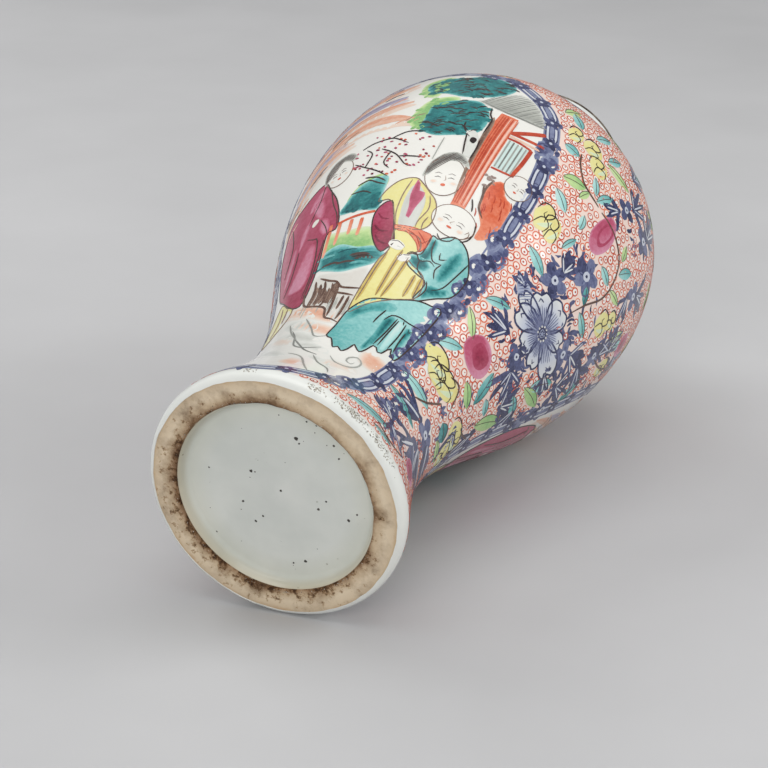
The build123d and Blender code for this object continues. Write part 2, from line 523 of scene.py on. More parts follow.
def petal(a, s, length, wide, turn):
    rim = [(0, -0.12), (0.35, -0.42), (0.75, -0.5), (0.97, -0.3), (0.92, -0.05), (1.02, 0.16),
        (0.9, 0.44), (0.6, 0.52), (0.3, 0.36), (0, 0.12)]
    points = scaledTo(a, s, turn, length, wide, rim)
    fill("cobalt", points, "over", (0.04, 0.56, turn + 180))
    stroke("cobalt", points, 0.62, "detail", 0.98, closed=True)
    for k in range(9):
        across = (k - 4) / 4 * 0.42 * wide
        reach = length * (0.66 - 0.05 * abs(k - 4) + dice.uniform(-0.05, 0.05))
        stroke("cobalt", placed(a, s, turn, [(0.06 * length, across * 0.35),
            (0.5 * reach, across * 0.75), (reach, across)]), 0.26, "line", 0.72, ends=(1, 0.2))
    stroke("cobalt", scaledTo(a, s, turn, length, wide, [(0.72, -0.1), (0.84, 0.02), (0.76, 0.13)]),
        0.5, "line", 0.95)
    leaveOut(points)


def dotRing(paint, a, s, count, step, reach, size, layer, tone):
    for k in range(count):
        dot = placed(a, s, k * step, [(reach, 0)])[0]
        fill(paint, blob(*dot, size, size, 0, 0.1, 6), layer, tone)


def bloom(a, s, size, petals):
    for turn, length, wide in petals:
        petal(*placed(a, s, turn, [(0.14 * size, 0)])[0], length * size, wide * size, turn)
    fill("cobalt", blob(a, s, 0.3 * size, 0.28 * size, 0, 0.06), "detail", 0.95)
    dotRing("skin", a, s, 11, 360 / 11, 0.21 * size, 0.035 * size, "line", 0.8)
    fill("cobalt", blob(a, s, 0.13 * size, 0.12 * size), "line", 0.5)
    dotRing("cobalt", a, s, 7, 51, 0.08 * size, 0.03 * size, "top", 1.0)


frondSettings = {"crowding": 1.7, "opening": 0.62, "bend": 0.25, "wide": 1.25}


def frond(a, s, turn, length, count, spread):
    # blue strap leaves that fan out from one place, some with a light stripe
    wide = frondSettings["wide"]
    count = round(count * frondSettings["crowding"])
    for k in range(count):
        way = turn + (k - (count - 1) / 2) * spread * frondSettings["opening"]
        reach = length * dice.uniform(0.62, 1.12)
        curve = frondSettings["bend"] * reach * (1 if k % 2 else -1) * dice.uniform(0.2, 1)
        path = placed(a, s, way, [(0.05 * reach, 0), (0.4 * reach, 0.5 * curve),
            (0.75 * reach, curve), (reach, 0.7 * curve)])
        stroke("cobalt", path, wide * dice.uniform(1.0, 1.7), "over", dice.uniform(0.86, 1.0),
            ends=(0.3, 0.1))
        if k % 3 == 1:
            stroke("cobalt", path[:3], wide * 0.4, "detail", dice.uniform(0.1, 0.35),
                ends=(0.2, 0.2))
        leaveOut(blob(*path[1], 0.3 * reach, wide * 0.8, way, 0.02, 8))
    fill("cobalt", blob(a, s, 0.16 * length, 0.13 * length, turn, 0.2), "over", 0.95)


def lobes(a, s, size, count, tone, turn):
    # a small flower or bud of rounded dark lobes
    for k in range(count):
        at = placed(a, s, turn + k * 360 / count, [(0.42 * size, 0)])[0]
        fill("cobalt", blob(*at, 0.36 * size, 0.28 * size, turn + k * 360 / count, 0.12, 9), "over",
            dice.uniform(tone - 0.15, tone + 0.12))
    fill("cobalt", blob(a, s, 0.2 * size, 0.2 * size, 0, 0.1, 8), "detail", 0.25)
    fill("cobalt", blob(a, s, 0.07 * size, 0.07 * size, 0, 0.1, 6), "line", 1.0)
    leaveOut(blob(a, s, 0.7 * size, 0.7 * size, 0, 0.02, 10))


def link(path, wide):
    # one long chain link along a short path: dark, with a light loop and a blue heart
    path = smoothed(path, False, 1.2)
    scale = mmPerDegree(path[len(path) // 2][1])
    xy = np.array([(a * scale, s) for a, s in path])
    way = np.gradient(xy, axis=0)
    way /= np.hypot(*way.T)[:, None]
    share = np.linspace(-1.0, 1.0, len(path))

    def oval(reach, size):
        half = 0.5 * wide * size * np.sqrt(np.clip(1 - (share / reach) ** 4, 0, 1))
        left, right = [], []
        for (x, y), (dx, dy), h, u in zip(xy, way, half, share):
            if abs(u) <= reach:
                left.append((float(x - dy * h) / scale, float(y + dx * h)))
                right.append((float(x + dy * h) / scale, float(y - dx * h)))
        return left + right[::-1]

    fill("cobalt", oval(1.0, 1.0), "over", 0.86, sharp=True)
    stroke("cobalt", oval(0.86, 0.62), 0.72, "detail", 0.2, closed=True)
    fill("cobalt", oval(0.7, 0.3), "line", 0.62, sharp=True)


keepOut = []
borderPath = [(14, 178), (20, 174), (25, 170), (29, 165), (32, 158), (34.5, 150), (36.5, 142),
    (38.5, 132), (40, 122), (41.5, 112), (42.5, 102), (44, 90), (45, 76), (45, 60), (44, 46),
    (41, 35), (36, 25), (28, 17), (18, 12), (8, 9), (-3, 7), (-16, 8), (-28, 11), (-40, 17),
    (-51, 28), (-58, 42), (-63, 58), (-66, 76), (-67.5, 94), (-68, 112), (-67, 128), (-64, 142),
    (-58, 155), (-50, 166), (-40, 174), (-28, 179), (-14, 182), (2, 182)]


def curl(a, s, size, turn, flip):
    line = [(-1, -0.2), (-0.7, 0.7), (0.2, 1), (0.9, 0.3), (0.6, -0.5), (-0.1, -0.45), (-0.2, 0.15),
        (0.25, 0.25)]
    stroke("cobalt", scaledTo(a, s, turn, size, size * flip, line), 0.8, "line", 0.8)


borderSettings = {"linkLength": 11.2, "linkWidth": 5.0, "scrollEvery": 6, "washOffset": 2.5}


def borderChain():
    # a dense blue chain; in the lower right its links give way to cloud scrolls
    line = smoothed(borderPath, True, 1.0)
    scale = [mmPerDegree(s) for a, s in line]
    run = [0.0]
    for i in range(1, len(line)):
        run.append(run[-1] + math.hypot((line[i][0] - line[i - 1][0]) * scale[i],
            line[i][1] - line[i - 1][1]))
    total = run[-1]
    count = round(total / borderSettings["linkLength"])

    def along(d):
        return line[min(range(len(run)), key=lambda k: abs(run[k] - d % total))]

    for k in range(count):
        start, end = k * total / count, (k + 1) * total / count
        knot, way = along(end), along(end + 1.5)
        turn = math.degrees(math.atan2(way[1] - knot[1], (way[0] - knot[0]) * mmPerDegree(knot[1])))
        middle = along((start + end) / 2)
        lowerRight = middle[0] > 30 and 44 < middle[1] < 108
        if lowerRight or k % borderSettings["scrollEvery"] == 3:
            for side in (-1, 1):
                at = placed(*middle, turn, [(side * 2.4, side * 1.7)])[0]
                fill("cobalt", blob(*at, 4.4, 3.0, turn, 0.2), "fill", 0.7, 1.2, under=0.52)
                curl(*at, 2.3, turn + 20 * side, side)
                fill("skin", blob(*placed(*at, turn, [(0.6, 1.0 * side)])[0], 1.0, 0.6, turn, 0.2,
                    8), "over", 0.9)
            for j in range(5):
                at = placed(*middle, turn, [(dice.uniform(-5, 5), dice.uniform(-3.4, 3.4))])[0]
                fill("cobalt", blob(*at, dice.uniform(0.9, 1.7), dice.uniform(0.7, 1.1), turn, 0.2,
                    9), "detail", dice.uniform(0.62, 0.95))
        else:
            link([along(start + 0.3 + (end - start - 0.6) * j / 4) for j in range(5)],
                borderSettings["linkWidth"] + dice.uniform(-0.3, 0.3))
        for j in range(5):
            at = placed(*knot, turn + 30 + 72 * j, [(1.5, 0)])[0]
            fill("cobalt", blob(*at, 1.6, 1.1, turn + 30 + 72 * j, 0.16, 8), "line",
                dice.uniform(0.84, 1.0))
        fill("cobalt", blob(*placed(*knot, turn, [(0, 3.1)])[0], 1.1, 0.8, turn, 0.2, 8), "detail",
            0.8)
        fill("cobalt", blob(*knot, 0.6, 0.6, 0, 0.1, 7), "top", 0.3)
    for way in (-1, 1):
        # a thin wash keeps the chain together on both sides
        edge = []
        for i in range(0, len(line) - 6, 6):
            ahead = line[(i + 4) % len(line)]
            turn = math.degrees(math.atan2(ahead[1] - line[i][1],
                (ahead[0] - line[i][0]) * scale[i]))
            edge += placed(*line[i], turn, [(0, way * borderSettings["washOffset"])])
        stroke("cobalt", edge, 0.55, "fill", 0.6, closed=True)


def head(a, s, wide, high, turn, hair=None, look=1):
    # a plain oval head of the painter's usual doll kind
    fill("skin", blob(a, s, wide, high, turn, 0.0, 14), "detail", 0.85)
    around = [(math.cos(k * math.pi / 7), math.sin(k * math.pi / 7)) for k in range(14)]
    stroke("brown", scaledTo(a, s, turn, wide, high, around), 0.24, "line", 0.85, closed=True)
    for side in (-0.34, 0.34):
        eye = [(side + x, y) for x, y in ((-0.16, -0.1), (0, -0.05), (0.16, -0.1))]
        brow = [(side + x, y) for x, y in ((-0.18, 0.1), (0, 0.16), (0.18, 0.1))]
        stroke("lineBlack", scaledTo(a, s, turn, wide, high, eye), 0.24, "top", 0.8)
        stroke("lineBlack", scaledTo(a, s, turn, wide, high, brow), 0.18, "top", 0.5)
        cheek = scaledTo(a, s, turn, wide, high, [(side * 1.5, -0.32)])[0]
        fill("salmon", blob(*cheek, 0.2 * wide, 0.16 * wide, 0, 0.1, 8), "line", 0.5, 0.5)
    stroke("brown", scaledTo(a, s, turn, wide, high, [(0.03, 0.02), (0.09 * look, -0.2),
        (0, -0.24)]), 0.18, "top", 0.6)
    mouth = scaledTo(a, s, turn, wide, high, [(0, -0.46)])[0]
    fill("ironRed", blob(*mouth, 0.13 * wide, 0.07 * high, turn, 0.05, 8), "top", 0.7)
    if hair:
        fill("grey", hair, "line", (1.0, 0.8, 0), 0.8, under=0.3)
        hatch("lineBlack", hair, 60, 0.5, 0.2, (0.3, 0.75), "top")


def folds(paint, lines, width, tone):
    # fine drawn lines that thin out at their ends
    for line in lines:
        stroke(paint, line, width, "top", tone, ends=(0.3, 0.15))


def panel(dress, child, sleeve):
    # garden, pavilion and figures inside the chain border
    # far hills: long slanting strokes of lilac and salmon with a drawn edge
    ridges = (
        ("lilac", [(-52, 164), (-42, 168), (-32, 172), (-22, 176)], 5.0, 0.85),
        ("salmon", [(-50, 158), (-42, 163), (-30, 167), (-18, 172)], 4.0, 0.9),
        ("lilac", [(-56, 146), (-48, 153), (-38, 158), (-26, 160), (-18, 161)], 4.6, 1.0),
        ("salmon", [(-54, 141), (-46, 148), (-34, 153), (-22, 155), (-14, 156)], 3.4, 0.95),
        ("salmon", [(-58, 130), (-50, 138), (-40, 144), (-28, 147), (-16, 146), (-8, 143)], 4.4,
            0.95),
        ("lilac", [(-60, 122), (-53, 131), (-44, 138), (-34, 141)], 4.0, 0.8),
        ("salmon", [(-62, 112), (-57, 121), (-48, 131), (-40, 136), (-30, 138)], 3.0, 0.8),
        ("lilac", [(-48, 172), (-38, 176), (-26, 179)], 3.0, 0.6),
    )
    for paint, path, wide, tone in ridges[::-1]:
        stroke(paint, [(a + 1.5, s - 0.6 * wide) for a, s in path], wide * 1.8, "wash", tone * 0.4,
            ends=(0.1, 0.1))
    for paint, path, wide, tone in ridges:
        stroke(paint, path, wide * 1.15, "fill", tone * 0.8, ends=(0.1, 0.1))
        stroke(paint, [(a, s + 0.2 * wide) for a, s in path], wide * 0.45, "over", tone,
            ends=(0.1, 0.1))
        for k in range(7):
            a, s = path[dice.randrange(len(path) - 1)]
            edge = placed(a + dice.uniform(0, 7), s + dice.uniform(-0.5, 0.7) * wide,
                dice.uniform(15, 45), [(-3.4, 0), (0, 0.5), (3.4, -0.3)])
            stroke("brown" if k % 2 else "salmon", edge, dice.uniform(0.3, 0.7), "detail",
                dice.uniform(0.5, 1.0), ends=(0.1, 0.1))
    # tree crowns
    crowns = [
        [(-12, 164), (-13, 169), (-9, 174), (-3, 176), (3, 179), (9, 178), (14, 174), (14, 169),
            (11, 164), (7, 161), (1, 159.5), (-5, 161), (-9, 161)],
        [(-6, 139), (-6, 146), (-6, 152), (-3, 155), (2, 157), (7, 158), (11, 155), (13.5, 149),
            (13.5, 143), (11, 139), (6, 137), (1, 135.5), (-3, 136.5)],
    ]
    greens = [
        [(-14, 163), (-15, 170), (-12, 175), (-7, 176), (-6, 170), (-6, 164), (-7, 158),
            (-11, 159)],
        [(-11, 143), (-10, 152), (-7, 157), (0, 159), (1, 155), (-4, 150), (-4, 143), (-4, 138),
            (-8, 139)],
    ]
    for crown, edge in zip(crowns, greens):
        fill("green", edge, "fill", 0.7, 1.6, under=0.25)
        fill("turquoise", crown, "over", (0.86, 0.8, 0), 1.0, under=0.5)
        dabs("turquoise", crown, 40, 1.5, (0.9, 1.0), "detail", 30, 0.7, under=0.83)
        dabs("turquoise", crown, 16, 1.2, (0.5, 0.68), "line", 30, 0.7, 0.45, under=0.8)
        low, high = np.min(crown, axis=0), np.max(crown, axis=0)
        for k in range(60):
            a, s = dice.uniform(low[0], high[0]), dice.uniform(low[1], high[1])
            if inside([(a, s)], crown)[0]:
                stroke("lineBlack", placed(a, s, dice.uniform(-20, 50),
                    [(-1.6, 0), (0, 0.4), (1.6, -0.1)]), dice.uniform(0.3, 0.6), "top",
                    dice.uniform(0.6, 0.95), ends=(0.1, 0.1))
        dabs("green", edge, 16, 1.2, (0.75, 0.95), "detail", 40, 0.7, under=0.68)
    # the white trunk with its black knot
    fill("grey", [(9.5, 140.5), (12, 141.5), (14, 139), (15.2, 134), (15.2, 129), (12.6, 129.5),
        (12.4, 133), (11, 136.5)], "line", 0.15)
    fill("lineBlack", blob(13, 137, 1.0, 1.5, 10), "top", 1.0)
    folds("lineBlack", [[(2, 143.5), (5, 142.5), (7, 142.8), (10, 140.5)],
        [(7.5, 145), (8, 142), (9.5, 140)], [(10, 139.5), (11, 135), (12.5, 129.5)],
        [(15, 138), (15.5, 133), (15.5, 128)], [(12, 156), (13, 152), (14.5, 149), (14.5, 141)]],
        0.5, 0.9)
    stroke("grey", [(4, 135), (4, 130), (4, 124)], 0.3, tone=0.6)
    # roof
    roof = [(8, 159.5), (11, 164), (14, 168), (17, 170.5), (21, 169.5), (25, 166), (28, 161.5),
        (30, 158.5), (27, 157), (20, 156.2), (13, 156.4), (6, 158.2)]
    fill("grey", roof, "fill", (0.75, 0.25, 90), 1.2, under=0.15)
    hatch("grey", roof, 62, 0.95, 0.28, (0.6, 0.95))
    stroke("grey", [(9, 158), (16, 156.4), (24, 156.6), (30, 158)], 0.7, tone=0.85)
    # pillar and struts
    pillar = [(15.6, 155), (21.3, 155), (22, 148), (22.4, 138), (22.8, 124), (23.8, 109),
        (18.2, 108.6), (17, 124), (15.8, 140), (15.2, 148)]
    fill("ironRed", pillar, "over", (0.68, 0.46, 0), sharp=True)
    fill("brown", [(14.2, 151), (15.7, 148), (16.3, 138), (17, 126), (18, 112), (16.6, 118),
        (15.4, 128), (14.6, 138)], "detail", (1.0, 0.85, 90), 0.4, under=0.5)
    for k in range(7):
        a = 17 + k * 0.85
        stroke("ironRed", [(a - 0.4, 154), (a - 0.2, 140), (a + 0.5, 124), (a + 1.4, 110)],
            0.26 + 0.2 * (k % 3), "line", 0.2 if k in (3, 5) else 0.86, ends=(0.5, 0.5))
    for line, width in (([(22, 147), (26.5, 151), (31, 155)], 1.6),
            ([(22, 147), (27, 147.8), (33, 149)], 1.1), ([(22, 144.2), (26, 144.6), (30.4, 144.4)],
            0.8), ([(30.4, 144.4), (30.6, 137), (30.2, 129.6)], 1.3),
            ([(23, 129), (27, 129.4), (31, 130.2)], 0.7)):
        stroke("ironRed", line, width, "line", 0.92, ends=(0.8, 0.8))
    stroke("salmon", [(22, 145.6), (27, 145.8), (32.4, 146.6)], 0.9, "detail", 0.6, ends=(0.8, 0.8))
    fill("turquoise", [(22.6, 143.6), (29.6, 143.9), (29.6, 130.4), (23.2, 129.8)], "over", 0.16,
        sharp=True)
    for k in range(5):
        a = 23.4 + k * 1.45
        stroke("grey", [(a - 0.3, 143.6), (a, 137), (a + 0.3, 130)], 0.5, "line",
            0.95 if k % 2 else 0.7, ends=(0.8, 0.8))
    # prunus with red buds
    folds("lineBlack", [[(-24, 131), (-20, 133), (-14, 134), (-11, 133), (-7, 131)],
        [(-16, 129), (-12, 127), (-9, 125), (-5, 121), (-3, 120)],
        [(-14, 134), (-9, 137), (-3, 137)], [(-12, 127), (-13, 122), (-10, 119)],
        [(-8, 124.5), (-4, 124.5), (0, 124.5)], [(-25, 124), (-20, 121), (-14, 118), (-9, 115)],
        [(-20, 121), (-19, 127), (-22, 130)]], 0.42, 0.85)
    for k in range(90):
        a, s = dice.uniform(-27, 3), dice.uniform(115, 138)
        if (a + 12) ** 2 / 230 + (s - 127) ** 2 / 130 < 1:
            fill("rose" if k % 3 else "ironRed", blob(a, s, dice.uniform(0.35, 0.7),
                dice.uniform(0.25, 0.45), dice.uniform(-50, 10), 0.15, 7), "line",
                dice.uniform(0.6, 1.0))
    # rocks, fence, lawn and bank
    rock = [(-25, 101), (-23, 106), (-19, 112), (-13, 115), (-8.5, 115), (-8, 108), (-8, 101),
        (-15, 101)]
    fill("green", [(-23, 106), (-19, 113), (-12, 116.5), (-8, 114), (-9, 109), (-15, 107)], "over",
        0.85, 1.0, under=0.4)
    fill("turquoise", rock, "detail", (0.98, 0.6, 90), 1.2, under=0.4)
    dabs("turquoise", [(-24, 101.5), (-20, 106), (-9, 108), (-8.5, 101.5)], 18, 1.5, (0.92, 1.0),
        "line", 20, 0.7, under=0.84)
    folds("lineBlack", [[(-20, 112.5), (-16, 114), (-12, 112.5), (-8.5, 111.5)],
        [(-18, 115.5), (-13, 115), (-9, 113)], [(-22, 109), (-17, 109.5), (-13, 108)]], 0.55, 0.75)
    stroke("ironRed", [(-24.5, 97), (-17, 98.6), (-8.3, 100)], 0.9, "line", 0.75, ends=(0.8, 0.8))
    for a, low in ((-23, 87.5), (-17.5, 91), (-12.8, 90), (-27.5, 83)):
        stroke("ironRed", [(a - 0.2, 97.5), (a, 93), (a, low)], 1.15, "detail", (0.35, 0.65, 90),
            ends=(0.8, 0.5))
    fill("green", [(-28, 93), (-20, 92.5), (-8, 93.5), (-3, 89), (0, 84.5), (-10, 82.5), (-20, 83),
        (-28, 84)], "fill", (0.42, 0.9, -90), 2.0, under=0.2)
    bank = [(-28, 84), (-20, 87), (-10, 85), (-2, 85.5), (5, 82.5), (2, 79), (-2, 77), (-12, 74.5),
        (-20, 75.5), (-28, 78)]
    fill("turquoise", bank, "over", (0.78, 0.94, -90), 1.8, under=0.4)
    for k in range(13):
        a, s = dice.uniform(-26, 1), dice.uniform(77, 84.5)
        stroke("turquoise" if k % 3 else "lineBlack", [(a - 5, s - 0.5), (a, s + 0.3),
            (a + 5, s + 0.2)], dice.uniform(0.5, 1.1), "detail", dice.uniform(0.5, 1.0),
            ends=(0.1, 0.1))
    # the rock table with its brown cracks
    fill("brown", [(-28, 74.5), (-20, 75), (-10, 74.5), (1, 76), (2, 58), (0, 50.5), (-7, 52.5),
        (-12, 57), (-20, 60), (-26, 61), (-31, 66)], "wash", 0.12, 1.0)
    folds("brown", [[(-24, 73), (-18, 71), (-13, 70), (-9, 67.5), (-3, 67.2), (2, 67.5)],
        [(-20, 71), (-18, 66), (-20, 61)], [(-15, 69.5), (-13, 66), (-10, 65), (0, 64)],
        [(-26, 72), (-24, 66), (-25, 61)], [(-31, 68), (-29, 63), (-26, 60.5), (-18, 59),
        (-12, 57.5), (-9, 53), (-4, 52), (1, 50.5)], [(-17, 65), (-15, 61), (-17, 58.5)],
        [(-10, 64), (-9, 59), (-8, 53.5)], [(-5, 63.5), (-5, 57)],
        [(-2, 63.5), (-1.5, 56), (-2, 52)], [(-22, 70), (-21, 65.5)]], 0.75, 0.95)
    for k in range(16):
        a = dice.uniform(-25, -11)
        stroke("brown", [(a, dice.uniform(66, 70)), (a + 0.5, dice.uniform(62, 65)),
            (a - 0.3, dice.uniform(59.5, 61))], dice.uniform(0.5, 1.4), "detail",
            dice.uniform(0.6, 1.0))
    for k in range(12):
        a = dice.uniform(-28, 1)
        stroke("grey", [(a, dice.uniform(60, 63)), (a + 0.3, dice.uniform(54, 58))], 0.3, "detail",
            0.5)
    # ground and cloud scrolls in front
    for a, s, wide, high, turn, tone in ((-18, 56, 14, 3.4, -22, 0.9), (-7, 47, 12, 3.0, -20, 0.8),
            (-30, 57, 8, 2.6, -25, 0.6), (33, 39, 5, 6, 40, 0.75), (20, 27, 6, 3, 20, 0.4),
            (1, 18, 4.5, 5, 20, 0.65), (-24, 40, 8, 3, -35, 0.3), (28, 44, 6, 2.2, 10, 0.5)):
        fill("salmon", blob(a, s, wide, high, turn, 0.15), "wash", tone, 2.4)
    for a, s, wide, high, turn in ((-14, 42, 9, 3, -25), (-22, 50, 7, 3, -30),
            (-2, 35, 8, 2.4, -20), (-20, 29, 8, 2.4, -40), (12, 25, 6, 2, -30)):
        fill("grey", blob(a, s, wide, high, turn, 0.2), "wash", 0.3, 2.2)
    for points in ([(-24, 47), (-18, 42), (-12, 35), (-5, 33), (4, 35)],
            [(-20, 53), (-12, 47), (-6, 42), (0, 42.5)], [(12, 31), (17, 28), (23, 28.5),
            (27, 31.5), (27.5, 35), (24, 36.6), (20.5, 34.6), (20.5, 32), (23.5, 31.4),
            (24.5, 33.2)], [(5, 28), (11, 23), (17, 21), (19, 18)],
            [(-16, 40), (-10, 36), (-2, 31), (6, 29)], [(-30, 52), (-24, 46), (-14, 39)],
            [(2, 24), (8, 17), (12, 13)], [(-8, 27), (0, 25), (6, 20)]):
        stroke("grey", points, 0.55, "detail", dice.uniform(0.55, 0.9), ends=(0.15, 0.1))
    # standing figure at the left in a long robe
    robe = [(-57, 115), (-48, 118.5), (-38, 121.5), (-33.5, 116), (-28.5, 109), (-24.8, 100),
        (-25, 95), (-29, 93.5), (-28.8, 80), (-30, 64), (-35, 62.5), (-42, 66), (-50, 72),
        (-57, 78), (-61, 90), (-62, 102)]
    outlined(sleeve, robe, (0.62, 0.84, -20), "over", "lineBlack", 0.4)
    for patch in ([(-41, 113), (-36, 113.5), (-33.5, 106), (-35, 103), (-40, 108)],
            [(-34, 103), (-30, 101), (-28.5, 96), (-31, 94.5), (-34.5, 98)],
            [(-38, 93), (-34, 90), (-33, 80), (-36, 72.5), (-44, 73), (-48, 76), (-43, 86)],
            [(-44, 105), (-40.5, 107), (-42, 99), (-46, 94), (-46.5, 100)],
            [(-50, 98), (-47, 99), (-49, 88), (-54, 80), (-54, 88)],
            [(-38, 119), (-35, 117), (-38, 112), (-43, 110), (-43, 114)]):
        fill(sleeve, patch, "detail", (0.4, 0.52, 60), 0.9, under=0.66)
    folds("lineBlack", [[(-33, 116), (-30, 108), (-26.5, 102), (-25, 97)],
        [(-37, 120), (-38, 112), (-42, 104)], [(-35, 103), (-31, 98), (-29, 94)],
        [(-41, 97), (-37, 95), (-34, 93), (-32, 80), (-33, 66)], [(-46, 94), (-48, 84), (-52, 76)],
        [(-55, 112), (-52, 100), (-56, 88)], [(-30, 92), (-30.5, 80), (-31.5, 66)]], 0.36, 0.7)
    outlined("yellow", [(-51, 71), (-43, 66), (-37, 63), (-37, 58), (-42, 52), (-48, 47), (-54, 52),
        (-55, 62)], (0.5, 0.62, 40), "fill", "brown", 0.3)
    folds("brown", [[(-48, 68), (-46, 60), (-47, 52)], [(-42, 65), (-42, 58)]], 0.5, 0.6)
    fill("skin", blob(-38, 103, 1.6, 1.2, 40, 0.1), "line", 0.6)
    head(-31.5, 123, 5.2, 6.6, 14, [(-37.5, 120), (-38.5, 126), (-35, 131), (-29, 132),
        (-25.5, 129), (-27, 127), (-31, 128.5), (-35, 126), (-36, 121.5)])
    # seated lady
    outlined(dress, [(-8.5, 104), (-7, 109), (-3, 113.5), (2, 115), (5, 113.5), (9, 110.5),
        (13, 107.5), (15.3, 103), (15.5, 98), (12, 95), (4, 94.5), (1, 97), (-2, 103), (-5, 105)],
        (0.66, 0.78, 0), "over", "brown", 0.34)
    folds("brown", [[(1, 114), (0, 107), (0.5, 100), (2.5, 95.5)],
        [(10, 109), (12, 104), (10.5, 98), (11, 95)], [(13.5, 101), (12.8, 98), (13.5, 95.5)]],
        0.34, 0.75)
    fill("grey", [(2, 111), (4, 112.5), (8, 109), (9.8, 105), (10.2, 99), (9.8, 95.5), (4, 95),
        (2.5, 99), (1.5, 105)], "detail", (0.42, 0.2, 0), 0.5, under=0.3)
    fill("rose", [(3, 114.5), (4.5, 113), (5.5, 110), (7.7, 109.7), (8, 107), (7, 103), (6.5, 98.5),
        (5, 99), (4.3, 103), (2.8, 108)], "line", (0.62, 0.85, 180), 0.4, under=0.5)
    outlined("rose", [(-5, 104), (-3, 104.5), (-1, 101), (1, 97), (3, 93), (5.5, 88), (4, 85.5),
        (2, 83.5), (-1, 85), (-4, 88), (-6.5, 92), (-8, 97), (-7.5, 101)], (0.74, 0.92, -60),
        "detail", "lineBlack", 0.42)
    folds("rose", [[(-6, 94), (-3, 92), (1, 92)], [(-6.5, 99), (-4, 97), (-1, 97)],
        [(-4, 90), (-1, 87.5), (3, 87)]], 0.6, 0.98)
    outlined(dress, [(3.5, 93), (10, 93), (15, 92), (17.5, 88), (14, 84.5), (18, 82), (25, 80),
        (28.2, 76), (28, 71), (20, 67), (10, 62), (3, 56.5), (1.3, 60), (1.2, 70), (2.6, 80),
        (5, 85)], (0.74, 0.6, 10), "over", "brown", 0.36)
    for line in ([(11, 86), (10.4, 78), (10.6, 66)], [(15, 84), (14.6, 76), (13.4, 66)],
            [(22, 79), (22.5, 74), (22.8, 69.5)], [(25.5, 79), (26.5, 74), (27, 71)],
            [(5, 84), (3.4, 76), (2.6, 62)]):
        stroke(dress, line, 1.5, "detail", 0.98, ends=(0.2, 0.2))
        stroke("brown", line, 0.34, "top", 0.8, ends=(0.3, 0.2))
    outlined("ironRed", [(2.5, 94.8), (10, 95.4), (15, 95.2), (18.8, 94.6), (19.2, 90),
        (17.5, 87.4), (14.5, 90.2), (9, 93), (5, 93), (3, 93.6)], (0.42, 0.62, 0), "line",
        "ironRed", 0.3, 0.98)
    folds("ironRed", [[(8, 94), (13, 92.6), (17, 89)], [(13, 94.4), (16, 92.6), (18.4, 91)],
        [(15, 91), (17, 90.8), (18.8, 93)]], 0.34, 0.98)
    for a, s, wide, high, turn in ((7.2, 87.4, 2.6, 1.8, -15), (13.2, 83.4, 2.1, 1.5, 30)):
        fill("skin", blob(a, s, wide, high, turn, 0.08), "top", 0.7)
        folds("lineBlack", [placed(a, s, turn, [(-wide, 0), (-0.2 * wide, high * 0.8),
            (wide, 0.3 * high)]), placed(a, s, turn, [(0.2 * wide, -high * 0.2),
            (0.8 * wide, -0.1 * high)])], 0.26, 0.8)
    head(11.2, 118.3, 6.0, 8.2, 12, [(3.6, 116.5), (4, 122), (7, 127.5), (11, 129.6), (15, 127.8),
        (17.6, 124), (14.5, 125.6), (10.5, 125.2), (7.4, 122), (5.6, 117.5)])
    # crouching child
    outlined(child, [(19, 95), (21.5, 94.6), (27, 98.2), (33, 97), (38, 93), (42, 87.5), (41.5, 80),
        (36, 75.5), (30, 71), (27.4, 71), (28, 78), (22, 79.6), (16, 81.6), (13.8, 85.6), (19, 87)],
        (0.34, 0.52, 0), "over", "lineBlack", 0.42)
    shades = (
        ([(31, 95), (35, 94), (36.4, 88), (34.6, 82), (30.5, 80), (28.6, 86), (29.5, 91)], 0.94,
            2.4, 0.44),
        ([(19.4, 94), (22.5, 94), (24, 88), (22, 85), (18, 86), (19.4, 90)], 0.94, 1.2, 0.42),
        ([(14.5, 85), (21, 86), (26, 84), (23, 81), (17, 82)], 0.9, 1.2, 0.42),
        ([(29, 78), (36, 80), (40, 83), (40, 79), (34, 74.5), (29.5, 72)], 0.9, 1.4, 0.44),
    )
    for shade, tone, soft, under in shades:
        fill(child, shade, "detail", tone, soft, under=under)
    folds("lineBlack", [[(20, 96.5), (22.5, 94.8), (26, 96), (27.2, 98.2)],
        [(21, 94), (22, 90), (25, 86.5), (29, 87)], [(25.8, 90.6), (27, 88.2), (29.6, 89.6)],
        [(29, 87), (28, 84), (30, 81)], [(14, 86.2), (17, 86.6), (20, 84.5), (24, 86), (27, 85)],
        [(20, 84.5), (21, 81.5), (25, 79.5)], [(38, 93), (37, 86), (35.5, 80), (32, 77)],
        [(28, 79), (30, 76), (29, 72)]], 0.4, 0.85)
    skirt = [(1.5, 56), (4, 60), (9, 64), (20, 67), (30, 71), (37, 72.5), (42.6, 73), (43, 60),
        (41, 48), (39, 46), (36, 47.5), (35, 49.4), (33.5, 48), (32, 45), (30, 44.4), (28, 46),
        (26, 46), (24, 42), (22, 40), (19, 41.5), (17.5, 42.4), (16, 38.4), (14, 36.4), (11, 38.2),
        (9, 37), (7, 39), (4, 42), (0.4, 43), (1, 50)]
    outlined(child, skirt, (0.58, 0.34, 20), "over", "lineBlack", 0.46)
